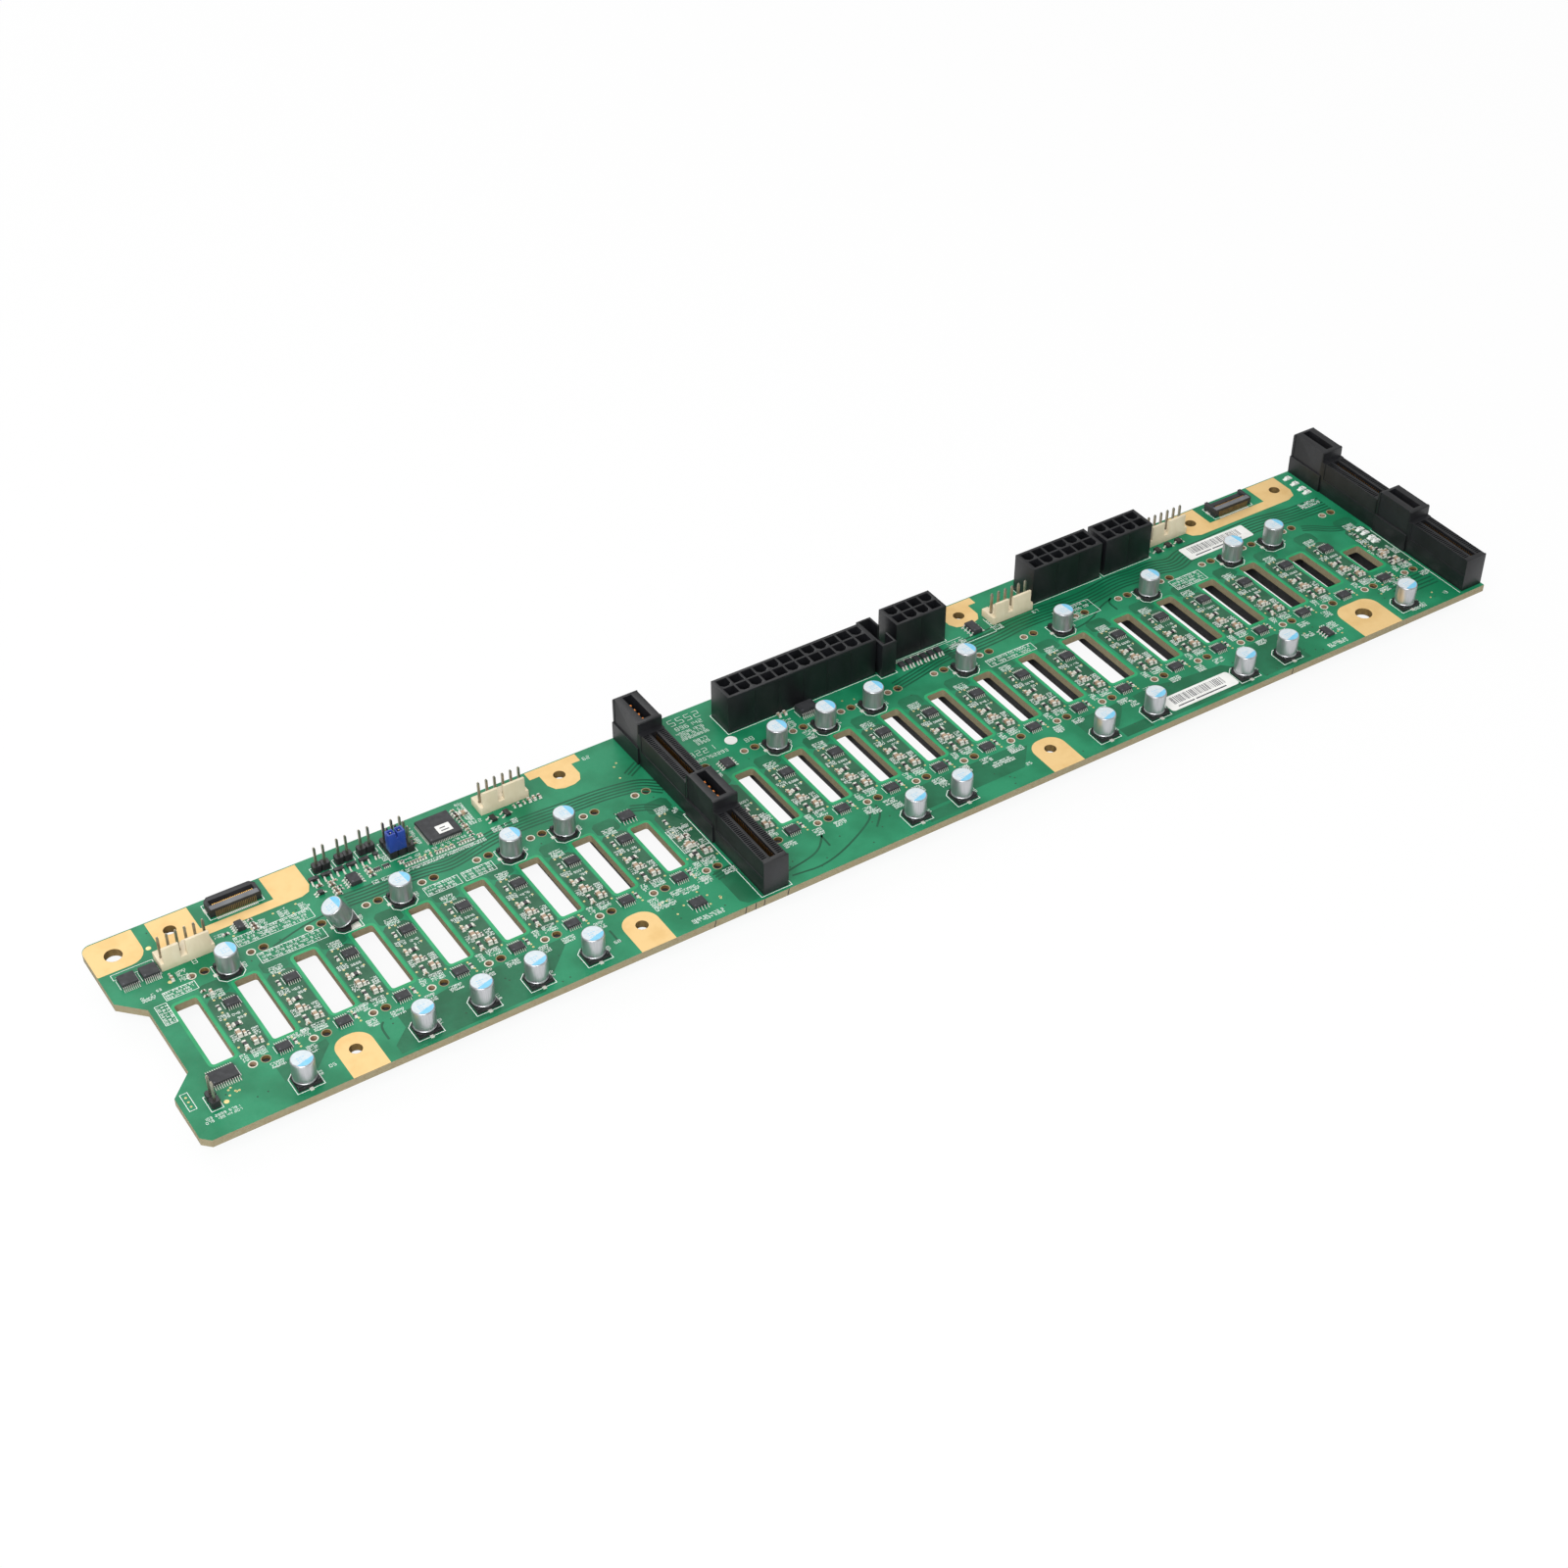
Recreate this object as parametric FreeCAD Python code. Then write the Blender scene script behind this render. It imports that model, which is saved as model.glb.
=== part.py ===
"""Drive backplane board: one bare circuit board with its connectors, capacitors and chips.

Twenty-four drive bays stand side by side along X. Each bay has a receptacle on the underside of the
board. The component side looks up and carries the card-edge, power, fan and signal connectors.
The origin is the centre of the corner mounting hole, on the underside of the board.
X runs along the board, Y towards its far long edge and Z up from the component side. Millimetres.
"""
import FreeCAD, Part
import os
from math import cos, radians, sin

Vec = FreeCAD.Vector

# Board
board_thickness = 2.4
board_left = -6.8
far_edge = 7.3
near_edge = -75.1
right_margin = 13.1
corner_radius = 3.0
near_chamfer = 2.3
waist_inset = 6.6
ear_far_end = -17.4
ear_near_start = -57.1
ear_slope_length = 6.8

# Bays
bay_count = 24
bay_1_x = 17.9
bay_pitch = 16.84
group_gap = 2.97
group_starts = (10, 18)

# Vent slots, one to the left of each bay except the one under the middle card connectors
slot_offset = 8.87
slot_width = 6.3
slot_far = -26.4
slot_length = 25.1
slot_corner = 0.8
slot_corner_sides = 2
slot_skipped_bay = 10
# Bay: shift in x, change in width, cut at the far end, cut at the near end
slot_changes = {
    9: (-0.5, -0.7, 3.8, 0.0),
    18: (-1.9, 2.6, 0.0, 0.0),
    23: (-0.4, -0.5, 4.3, 1.9),
    24: (-0.1, 0.4, 11.2, 1.5),
}

# Mounting holes: distance to the right of the first hole, and to its far side
corner_hole_radius = 2.5
screw_hole_radius = 1.8
driver_hole_radius = 2.65
far_row_y = 1.1
near_row_y = -65.9
far_screws = {"screw_hole_far_1": 16.4, "screw_hole_far_2": 135.5, "screw_hole_far_3": 276.4,
              "screw_hole_far_4": 368.8, "screw_hole_far_5": 404.3}
near_screws = {"screw_hole_near_1": 38.9, "screw_hole_near_2": 123.4, "screw_hole_near_3": 260.7}
driver_hole_x = 382.2

# Locating holes of the drive receptacles, a pair in each bay
peg_hole_radius = 1.3
peg_hole_sides = 8
peg_far_y = -18.6
peg_near_y = -56.7
peg_near_shift = 0.3

# Drive receptacles on the underside
receptacle_width = 6.2
receptacle_length = 43.4
receptacle_height = 6.0
receptacle_offset = 1.5
tongue_slot_width = 1.6
tongue_slot_depth = 4.9
tongue_end_wall = 1.6
tongue_key_length = 1.4
tongue_key_width = 1.3
lead_in = 0.5

# Card-edge connectors: two in line at the middle and two at the right end
card_width = 8.0
card_length = 40.4
card_low_height = 11.3
card_tall_height = 14.7
card_tall_length = 14.6
card_far_end = 7.2
card_joint_gap = 0.2
card_flange = 0.4
card_flange_height = 6.2
card_tall_chamfer = 0.7
card_slot_width = 1.9
card_slot_end_wall = 1.7
card_slot_depth = 8.0
blade_bay_width = 2.9
blade_bay_wall = 1.6
blade_bay_depth = 11.0
blade_count = 4
blade_pitch = 2.3
blade_thickness = 1.0
blade_width = 0.8
blade_below_rim = 1.0
middle_card_offset = 11.3

# Power connectors, two rows of cells
cell_pitch = 4.2
cell_size = 3.5
cell_corner_cut = 1.0
# Of each four columns, those with cut corners in the near row and in the far row
cut_corner_columns = ((1, 2), (0, 3))
cell_depth = 9.0
power_rim = 0.7
power_row_extra = 1.2
power_height = 13.0
wide_power_columns = 12
wide_power_gap = 20.7
wide_power_near = -9.3
mid_power_columns = 4
mid_power_near = -6.8
pair_power_near = -6.4
pair_left_columns = 6
pair_right_columns = 4
pair_bay = 17
pair_offset = 8.6
pair_gap = 1.7

# Service header between the first two power connectors
service_gap = 0.7
service_width = 5.1
service_length = 14.2
service_height = 11.8
service_wall = 0.7
service_floor = 1.7
service_near = -11.7
service_key_width = 4.0
service_key_depth = 5.0
mid_power_gap = 3.4

# Fan headers
pin_pitch = 2.54
pin_size = 0.64
fan_pins = 6
fan_depth = 6.0
fan_base_height = 2.6
fan_wall_thickness = 1.2
fan_wall_height = 7.5
fan_wall_inset = 1.0
fan_notch_width = 1.9
fan_pin_height = 9.7
fan_pin_setback = 3.0
fan_1_offset = -9.5
fan_1_near = -13.0
fan_2_offset = 6.2
fan_2_near = -2.8
fan_3_gap = 1.3
fan_3_near = -8.6
fan_4_gap = 3.3
fan_4_near = -2.5

# Signal connectors
signal_length = 15.0
signal_depth = 5.8
signal_height = 2.8
signal_near = -1.0
signal_wall = 1.1
signal_front_wall = 2.1
signal_rear_wall = 1.7
signal_slot_depth = 2.1
# Bay the connector stands beside, shift in x, cut of its rear corners, drop of its rear wall
signal_places = {"signal_connector_left": (2, -7.3, 1.3, 0.0), "signal_connector_right": (22, -0.1, 0.0, 1.3)}

# Pin headers
header_base_height = 2.4
header_pin_height = 8.6
header_clearance = 0.1
pair_header_bay = 3
pair_header_shift = 6.8
pair_header_step = 6.75
pair_header_near = 0.0
pair_header_count = 3
block_header_bay = 5
block_header_shift = -6.6
block_header_near = -5.9
block_header_rows = 3
block_header_columns = 3
jumper_height = 6.2
test_header_x = 0.9
test_header_near = -66.0

# Capacitors
can_radius = 3.15
can_sides = 20
can_height = 6.7
cap_base_size = 6.6
cap_base_height = 1.0
cap_base_cut = 1.3
cap_offset = 5.6
far_cap_y = -21.9
near_cap_y = -68.8
far_cap_bays = (1, 3, 4, 6, 7, 11, 12, 13, 15, 17, 19, 21, 22)
near_cap_bays = (1, 3, 4, 5, 6, 12, 13, 16, 17, 19, 20, 23)
cap_shifts = {("far", 17): 2.9, ("near", 5): -1.0, ("near", 6): -0.7, ("near", 12): -0.9,
              ("near", 13): -1.7, ("near", 16): -1.1, ("near", 17): 0.9, ("near", 19): -1.3,
              ("near", 20): -1.4, ("near", 23): -3.7}
leaning_bay = 3
lean_angle = 26.0
lean_slide = (-0.33, -0.35)
broken_corner = (3.1, 2.0)

# Chips and other small parts
bay_chip_length = 4.0
bay_chip_width = 3.6
bay_chip_height = 1.0
far_chip_offset = 1.2
far_chip_y = -33.3
near_chip_offset = 5.7
near_chip_y = -55.3
far_chip_skipped = (9, 10, 24)
near_chip_skipped = (9, 24)
controller_size = 10.1
controller_height = 1.4
controller_bay = 5
controller_shift = 10.3
controller_y = -1.4
light_size = (2.2, 1.3, 0.8)
light_gap = 3.6
light_rows = (3.7, 0.1, -3.4, -5.9, -31.3, -33.7, -36.7, -38.7)
# Bay the chip stands beside, shift in x, middle y, length, width, height
loose_chips = (
    (1, -18.4, -11.6, 4.8, 4.4, 1.5),
    (1, -12.4, -11.6, 4.8, 4.4, 1.5),
    (1, 14.7, -8.2, 2.9, 3.5, 1.4),
    (4, -2.1, -8.0, 3.9, 4.2, 1.5),
    (1, -11.3, -56.6, 7.5, 4.7, 1.1),
    (8, 6.4, -25.3, 4.4, 3.5, 1.0),
    (8, 4.6, -66.9, 4.4, 3.4, 1.0),
    (10, 6.0, -21.0, 3.9, 4.1, 1.0),
    (16, 2.5, -7.0, 3.8, 5.3, 1.5),
    (12, 4.9, -12.7, 5.8, 4.1, 2.2),
    (21, 5.2, -67.2, 3.2, 4.4, 1.0),
)
transistor_size = (1.9, 2.4, 1.1)
transistor_pitch = 2.66
transistor_count = 6
transistor_gap = 3.2
transistor_y = -10.3

# Places worked out from the sizes above
waist_x = board_left + waist_inset
receptacle_middle_y = (peg_far_y + peg_near_y) / 2


def bay_x(bay):
    """X of the locating-hole column of a bay, counted from 1 at the left."""
    gaps = sum(1 for start in group_starts if bay >= start)
    return bay_1_x + (bay - 1) * bay_pitch + gaps * group_gap


board_right = bay_x(bay_count) + right_margin
middle_card_x = bay_x(slot_skipped_bay) - middle_card_offset
end_card_x = board_right - card_width / 2 - card_flange


def box(x, y, z, length, width, height):
    """A box from its lowest corner."""
    return Part.makeBox(length, width, height, Vec(x, y, z))


def prism(points, z, height):
    """An upright prism over a closed outline of (x, y) points."""
    wire = Part.makePolygon([Vec(x, y, z) for x, y in points + points[:1]])
    return Part.Face(wire).extrude(Vec(0, 0, height))


def ring_outline(x, y, radius, sides):
    """Outline of a small round piece or hole, turned in a few equal flats."""
    turns = [radians(360 * index / sides) for index in range(sides)]
    return [(x + radius * cos(turn), y + radius * sin(turn)) for turn in turns]


def rounded_outline(left, near, right, far, radius, sides):
    """Outline of a rectangle whose corners are rounded in a few equal sides."""
    centres = ((right - radius, far - radius), (left + radius, far - radius),
               (left + radius, near + radius), (right - radius, near + radius))
    points = []
    for quarter, (x, y) in enumerate(centres):
        for step in range(sides + 1):
            turn = radians(90 * (quarter + step / sides))
            points.append((x + radius * cos(turn), y + radius * sin(turn)))
    return points


def group(solids):
    """Separate solids kept together in one named node."""
    return Part.makeCompound(solids)


def save(shape, name):
    """Write one node."""
    shape.exportStep(os.path.join("parts", name + ".step"))


def slot_sides(bay):
    """Left, near, right and far sides of the vent slot beside a bay."""
    shift, wider, far_cut, near_cut = slot_changes.get(bay, (0.0, 0.0, 0.0, 0.0))
    half = (slot_width + wider) / 2
    middle = bay_x(bay) - slot_offset + shift
    return middle - half, slot_far - slot_length + near_cut, middle + half, slot_far - far_cut


def peg_places(bay):
    """The two locating holes of a bay."""
    return [(bay_x(bay), peg_far_y), (bay_x(bay) + peg_near_shift, peg_near_y)]


def mounting_holes():
    """Each through hole of the board: name, x, y and radius."""
    holes = [("corner_hole", 0.0, 0.0, corner_hole_radius)]
    holes += [(name, x, far_row_y, screw_hole_radius) for name, x in far_screws.items()]
    holes += [(name, x, near_row_y, screw_hole_radius) for name, x in near_screws.items()]
    holes += [("driver_hole", driver_hole_x, near_row_y, driver_hole_radius)]
    return holes


def make_board():
    """The bare board: its outline with the waist at the left end, vent slots and mounting holes."""
    outline = [
        (board_left, far_edge),
        (board_right, far_edge),
        (board_right, near_edge),
        (board_left + near_chamfer, near_edge),
        (board_left, near_edge + near_chamfer),
        (board_left, ear_near_start),
        (waist_x, ear_near_start + ear_slope_length),
        (waist_x, ear_far_end - ear_slope_length),
        (board_left, ear_far_end),
    ]
    board = prism(outline, 0.0, board_thickness)
    corner = [edge for edge in board.Edges
              if all(abs(v.X - board_left) < 0.01 and abs(v.Y - far_edge) < 0.01 for v in edge.Vertexes)]
    board = board.makeFillet(corner_radius, corner)
    cuts = []
    for bay in range(1, bay_count + 1):
        if bay != slot_skipped_bay:
            outline = rounded_outline(*slot_sides(bay), slot_corner, slot_corner_sides)
            cuts.append(prism(outline, 0.0, board_thickness))
        for x, y in peg_places(bay):
            outline = ring_outline(x, y, peg_hole_radius, peg_hole_sides)
            cuts.append(prism(outline, 0.0, board_thickness))
    for name, x, y, radius in mounting_holes():
        cuts.append(Part.makeCylinder(radius, board_thickness, Vec(x, y, 0.0)))
    return board.cut(group(cuts))


def make_drive_receptacle(bay):
    """A plug receptacle under the board, with its keyed tongue slot open downwards."""
    middle_x = bay_x(bay) - receptacle_offset
    near = receptacle_middle_y - receptacle_length / 2
    body = box(middle_x - receptacle_width / 2, near, -receptacle_height,
               receptacle_width, receptacle_length, receptacle_height)
    bottom = [edge for edge in body.Edges if edge.BoundBox.ZMax < -receptacle_height + 0.01]
    body = body.makeChamfer(lead_in, bottom)
    side = middle_x - tongue_slot_width / 2
    start = near + tongue_end_wall
    end = near + receptacle_length - tongue_end_wall
    key = side + tongue_slot_width + tongue_key_width
    other = side + tongue_slot_width
    profile = [
        (side, start),
        (key, start),
        (key, start + tongue_key_length),
        (other, start + tongue_key_length),
        (other, end - tongue_key_length),
        (key, end - tongue_key_length),
        (key, end),
        (side, end),
    ]
    return body.cut(prism(profile, -receptacle_height, tongue_slot_depth))


def card_units():
    """Middle x and far end of each card-edge connector."""
    step = card_length + card_joint_gap
    places = []
    for middle_x in (middle_card_x, end_card_x):
        places += [(middle_x, card_far_end), (middle_x, card_far_end - step)]
    return places


def make_card_connector(middle_x, far):
    """A card-edge connector: a tall power bay at its far end and a long contact slot."""
    left = middle_x - card_width / 2
    near = far - card_length
    tall_near = far - card_tall_length
    low = box(left, near, board_thickness, card_width, card_length, card_low_height)
    tall = box(left, tall_near, board_thickness, card_width, card_tall_length, card_tall_height)
    tall_top = board_thickness + card_tall_height
    rim = [edge for edge in tall.Edges
           if edge.BoundBox.ZMin > tall_top - 0.01 and edge.BoundBox.YLength < 0.01]
    tall = tall.makeChamfer(card_tall_chamfer, rim)
    flange = box(left - card_flange, tall_near, board_thickness,
                 card_width + 2 * card_flange, card_tall_length, card_flange_height)
    body = low.fuse([tall, flange]).removeSplitter()
    slot_near = near + card_slot_end_wall
    slot = box(middle_x - card_slot_width / 2, slot_near,
               board_thickness + card_low_height - card_slot_depth,
               card_slot_width, tall_near - card_slot_end_wall - slot_near, card_slot_depth)
    blade_bay = box(middle_x - blade_bay_width / 2, tall_near + blade_bay_wall,
                    tall_top - blade_bay_depth, blade_bay_width,
                    card_tall_length - 2 * blade_bay_wall, blade_bay_depth)
    return body.cut([slot, blade_bay])


def make_blades():
    """The power blades that stand in the tall bay of each card-edge connector."""
    height = blade_bay_depth - blade_below_rim
    floor = board_thickness + card_tall_height - blade_bay_depth
    blades = []
    for middle_x, far in card_units():
        first = far - card_tall_length + blade_bay_wall + blade_width
        for index in range(blade_count):
            blades.append(box(middle_x - blade_bay_width / 2, first + index * blade_pitch, floor,
                              blade_thickness, blade_width, height))
    return group(blades)


def power_width(columns):
    """Length of a two-row power connector along X."""
    return columns * cell_pitch + 2 * power_rim


def make_power_connector(left, near, columns):
    """A two-row housing whose square and cut-corner cells alternate in pairs."""
    body = box(left, near, board_thickness, power_width(columns), 2 * cell_pitch + power_row_extra,
               power_height)
    top = board_thickness + power_height
    cells = []
    for column in range(columns):
        cell_left = left + power_rim + (column + 0.5) * cell_pitch - cell_size / 2
        cell_right = cell_left + cell_size
        for row in range(2):
            low = near + power_row_extra / 2 + (row + 0.5) * cell_pitch - cell_size / 2
            high = low + cell_size
            outline = [(cell_right, high), (cell_left, high)]
            if column % 4 in cut_corner_columns[row]:
                outline += [(cell_left, low + cell_corner_cut), (cell_left + cell_corner_cut, low),
                            (cell_right - cell_corner_cut, low), (cell_right, low + cell_corner_cut)]
            else:
                outline += [(cell_left, low), (cell_right, low)]
            cells.append(prism(outline, top - cell_depth, cell_depth))
    return body.cut(group(cells))


def make_service_header(left):
    """A small shrouded header with a key slot in its right wall."""
    body = box(left, service_near, board_thickness, service_width, service_length, service_height)
    inside = box(left + service_wall, service_near + service_wall,
                 board_thickness + service_floor,
                 service_width - 2 * service_wall, service_length - 2 * service_wall, service_height)
    key = box(left + service_width - service_wall,
              service_near + (service_length - service_key_width) / 2,
              board_thickness + service_height - service_key_depth,
              service_wall, service_key_width, service_key_depth)
    return body.cut([inside, key])


def make_fan_header(left, near):
    """A cream header: a low base behind a friction wall with a notch."""
    length = fan_pins * pin_pitch
    base = box(left, near, board_thickness, length, fan_depth, fan_base_height)
    wall = box(left + fan_wall_inset, near, board_thickness,
               length - 2 * fan_wall_inset, fan_wall_thickness, fan_wall_height)
    notch = box(left + length / 2 - fan_notch_width, near, board_thickness + fan_base_height,
                fan_notch_width, fan_wall_thickness, fan_wall_height)
    return base.fuse(wall).removeSplitter().cut(notch)


def make_pins(points, floor, top):
    """Square pins that stand on one level."""
    half = pin_size / 2
    return [box(x - half, y - half, floor, pin_size, pin_size, top - floor) for x, y in points]


def make_signal_connector(left, rear_cut, rear_drop):
    """A low surface connector with a contact slot; its rear corners are cut, or its rear wall is lower."""
    far = signal_near + signal_depth
    right = left + signal_length
    top = board_thickness + signal_height
    rear = [(right, far), (left, far)]
    if rear_cut:
        rear = [(right, far - rear_cut), (right - rear_cut, far),
                (left + rear_cut, far), (left, far - rear_cut)]
    body = prism([(left, signal_near), (right, signal_near)] + rear, board_thickness, signal_height)
    inside_length = signal_length - 2 * signal_wall
    cuts = [box(left + signal_wall, signal_near + signal_front_wall, top - signal_slot_depth,
                inside_length, signal_depth - signal_front_wall - signal_rear_wall, signal_slot_depth)]
    if rear_drop:
        cuts.append(box(left + signal_wall, far - signal_rear_wall, top - rear_drop,
                        inside_length, signal_rear_wall, rear_drop))
    return body.cut(cuts)


def make_capacitors():
    """Cans and bases of all capacitors; the one beside the leaning bay has a tipped can."""
    cans = []
    bases = []
    half = cap_base_size / 2
    rows = (("far", far_cap_y, far_cap_bays, 1), ("near", near_cap_y, near_cap_bays, -1))
    for row, y, bays, side in rows:
        for bay in bays:
            x = bay_x(bay) + cap_offset + cap_shifts.get((row, bay), 0.0)
            cut = side * (half - cap_base_cut)
            outline = [(x - half, y + side * half), (x - half, y - cut),
                       (x - half + cap_base_cut, y - side * half),
                       (x + half - cap_base_cut, y - side * half),
                       (x + half, y - cut), (x + half, y + side * half)]
            base = prism(outline, board_thickness, cap_base_height)
            can = prism(ring_outline(x, y, can_radius, can_sides),
                        board_thickness + cap_base_height, can_height)
            if (row, bay) == ("far", leaning_bay):
                base, can = lean(base, can, x, y)
            cans.append(can)
            bases.append(base)
    return group(cans), group(bases)


def lean(base, can, x, y):
    """Break a corner off a capacitor's base and tip its can over the left edge of that base."""
    half = cap_base_size / 2
    length, depth = broken_corner
    corner = box(x + half - length, y - half, board_thickness, length, depth, cap_base_height)
    pivot = Vec(x - half, y, board_thickness + cap_base_height)
    slid = can.translated(Vec(lean_slide[0], lean_slide[1], 0))
    return base.cut(corner), slid.rotated(pivot, Vec(0, 1, 0), -lean_angle)


def chip(x, y, length, width, height):
    """A flat chip body centred on a point of the board."""
    return box(x - length / 2, y - width / 2, board_thickness, length, width, height)


def make_bay_chips(offset, y, skipped):
    """One small chip in each bay strip."""
    return group([chip(bay_x(bay) + offset, y, bay_chip_length, bay_chip_width, bay_chip_height)
                  for bay in range(1, bay_count + 1) if bay not in skipped])


def header_base(left, near, columns, rows):
    """The plastic base of a pin header."""
    return box(left, near, board_thickness, columns * pin_pitch, rows * pin_pitch, header_base_height)


def header_points(left, near, columns, rows):
    """Centres of the pins of a header."""
    return [(left + (column + 0.5) * pin_pitch, near + (row + 0.5) * pin_pitch)
            for column in range(columns) for row in range(rows)]


def pair_header_left(index):
    """Left side of one of the three two-pin headers."""
    return bay_x(pair_header_bay) + pair_header_shift + index * pair_header_step


def make_jumper(left, near):
    """A shunt cap over two pins in the near row of the block header."""
    floor = board_thickness + header_base_height + header_clearance
    cap = box(left, near, floor, 2 * pin_pitch, pin_pitch, jumper_height)
    wells = []
    for x, y in header_points(left, near, 2, 1):
        well = pin_size + 2 * header_clearance
        wells.append(box(x - well / 2, y - well / 2, floor, well, well, jumper_height))
    return cap.cut(group(wells))


def make_headers():
    """Bases, pins and the jumper cap of the pin headers."""
    block_left = bay_x(block_header_bay) + block_header_shift
    pairs = []
    points = header_points(block_left, block_header_near, block_header_columns, block_header_rows)
    for index in range(pair_header_count):
        left = pair_header_left(index)
        pairs.append(header_base(left, pair_header_near, 2, 1))
        points += header_points(left, pair_header_near, 2, 1)
    test_left = test_header_x - pin_pitch / 2
    points += header_points(test_left, test_header_near, 1, 2)
    floor = board_thickness + header_base_height
    save(group(pairs), "two_pin_headers")
    save(header_base(block_left, block_header_near, block_header_columns, block_header_rows),
         "jumper_header")
    save(header_base(test_left, test_header_near, 1, 2), "test_header")
    save(group(make_pins(points, floor, board_thickness + header_pin_height)), "header_pins")
    save(make_jumper(block_left, block_header_near), "jumper_cap")


def make_fan_headers(places):
    """The four fan headers and all their pins."""
    pins = []
    for number, (left, near) in enumerate(places, 1):
        save(make_fan_header(left, near), "fan_header_%d" % number)
        points = [(left + (index + 0.5) * pin_pitch, near + fan_pin_setback)
                  for index in range(fan_pins)]
        pins += make_pins(points, board_thickness + fan_base_height,
                          board_thickness + fan_pin_height)
    save(group(pins), "fan_header_pins")


def make_chips(transistor_left):
    """The controller, the small chips of the bays and the loose ones."""
    save(make_bay_chips(far_chip_offset, far_chip_y, far_chip_skipped), "bay_chips_far")
    save(make_bay_chips(near_chip_offset, near_chip_y, near_chip_skipped), "bay_chips_near")
    save(chip(bay_x(controller_bay) + controller_shift, controller_y,
              controller_size, controller_size, controller_height), "controller_chip")
    save(group([chip(bay_x(bay) + shift, y, length, width, height)
                for bay, shift, y, length, width, height in loose_chips]), "loose_chips")
    save(group([chip(transistor_left + index * transistor_pitch, transistor_y, *transistor_size)
                for index in range(transistor_count)]), "power_transistors")
    light_x = end_card_x - card_width / 2 - light_gap
    save(group([chip(light_x, y, *light_size) for y in light_rows]), "status_lights")


def main():
    """Build and write every node."""
    os.makedirs("parts", exist_ok=True)
    save(make_board(), "board")
    for bay in range(1, bay_count + 1):
        save(make_drive_receptacle(bay), "drive_receptacle_%02d" % bay)
    names = ("card_connector_middle_far", "card_connector_middle_near",
             "card_connector_right_far", "card_connector_right_near")
    for name, (middle_x, far) in zip(names, card_units()):
        save(make_card_connector(middle_x, far), name)
    save(make_blades(), "card_connector_blades")

    wide_left = middle_card_x + card_width / 2 + card_flange + wide_power_gap
    service_left = wide_left + power_width(wide_power_columns) + service_gap
    service_right = service_left + service_width
    pair_left = bay_x(pair_bay) + pair_offset
    second_left = pair_left + power_width(pair_left_columns) + pair_gap
    second_right = second_left + power_width(pair_right_columns)
    save(make_power_connector(wide_left, wide_power_near, wide_power_columns),
         "power_connector_wide")
    save(make_service_header(service_left), "service_header")
    save(make_power_connector(service_right + mid_power_gap, mid_power_near, mid_power_columns),
         "power_connector_middle")
    save(make_power_connector(pair_left, pair_power_near, pair_left_columns),
         "power_connector_right_1")
    save(make_power_connector(second_left, pair_power_near, pair_right_columns),
         "power_connector_right_2")

    make_fan_headers((
        (bay_x(1) + fan_1_offset, fan_1_near),
        (bay_x(6) + fan_2_offset, fan_2_near),
        (pair_left - fan_3_gap - fan_pins * pin_pitch, fan_3_near),
        (second_right + fan_4_gap, fan_4_near),
    ))
    for name, (bay, shift, rear_cut, rear_drop) in signal_places.items():
        save(make_signal_connector(bay_x(bay) + shift, rear_cut, rear_drop), name)
    make_headers()
    cans, bases = make_capacitors()
    save(cans, "capacitor_cans")
    save(bases, "capacitor_bases")
    make_chips(service_right + transistor_gap)


if __name__ == "__main__":
    main()
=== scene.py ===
# %% [markdown]
# # Drive backplane board
# This board joins the drives of a storage server to its cards, fans and power supply.
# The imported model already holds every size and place. This lesson adds what the eye expects to find:
# green solder mask over copper, gold plating, printed marks, solder, moulded plastic and bright cans.

import random
from math import cos, hypot, pi, radians, sin

import bmesh
import bpy
from mathutils import Matrix, Vector


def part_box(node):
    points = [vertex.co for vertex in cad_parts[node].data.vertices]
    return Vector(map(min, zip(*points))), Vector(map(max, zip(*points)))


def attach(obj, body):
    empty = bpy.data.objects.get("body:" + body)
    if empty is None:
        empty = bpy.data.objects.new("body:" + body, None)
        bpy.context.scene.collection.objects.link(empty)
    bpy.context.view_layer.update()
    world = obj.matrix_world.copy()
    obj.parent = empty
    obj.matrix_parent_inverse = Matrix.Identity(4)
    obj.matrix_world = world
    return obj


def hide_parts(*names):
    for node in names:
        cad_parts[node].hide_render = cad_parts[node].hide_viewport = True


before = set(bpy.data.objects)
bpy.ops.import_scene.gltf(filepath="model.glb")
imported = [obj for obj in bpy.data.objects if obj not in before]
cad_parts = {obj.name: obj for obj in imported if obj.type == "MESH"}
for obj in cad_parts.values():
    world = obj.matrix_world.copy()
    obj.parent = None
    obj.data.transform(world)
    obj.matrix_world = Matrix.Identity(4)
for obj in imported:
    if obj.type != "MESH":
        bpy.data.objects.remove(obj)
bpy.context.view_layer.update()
random.seed(24)
print("nodes in the frame:", len(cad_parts))

# %% [markdown]
# ## Sizes and places
# Pieces that this script adds have to sit where the model says. So the level of the board's top face
# and the column of each drive bay are read off the frame, and every other place counts from them.
# All sizes in this file are millimetres, and one factor turns them into Blender's metres.

# %% Read the main places off the frame
mm = 0.001
receptacle_names = ["drive_receptacle_%02d" % number for number in range(1, 25)]
receptacle_offset = 1.5


def node_box(name):
    """Lowest and highest corner of a node, in millimetres."""
    low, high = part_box(name)
    return Vector(low) / mm, Vector(high) / mm


def centre(low, high):
    """Middle of a box along X and Y."""
    return (low[0] + high[0]) / 2, (low[1] + high[1]) / 2


board_low, board_high = node_box("board")
top = board_high.z
bays = [centre(*node_box(name))[0] + receptacle_offset for name in receptacle_names]
print("board top at", round(top, 3), "first and last bay at", round(bays[0], 2), round(bays[-1], 2))

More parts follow.
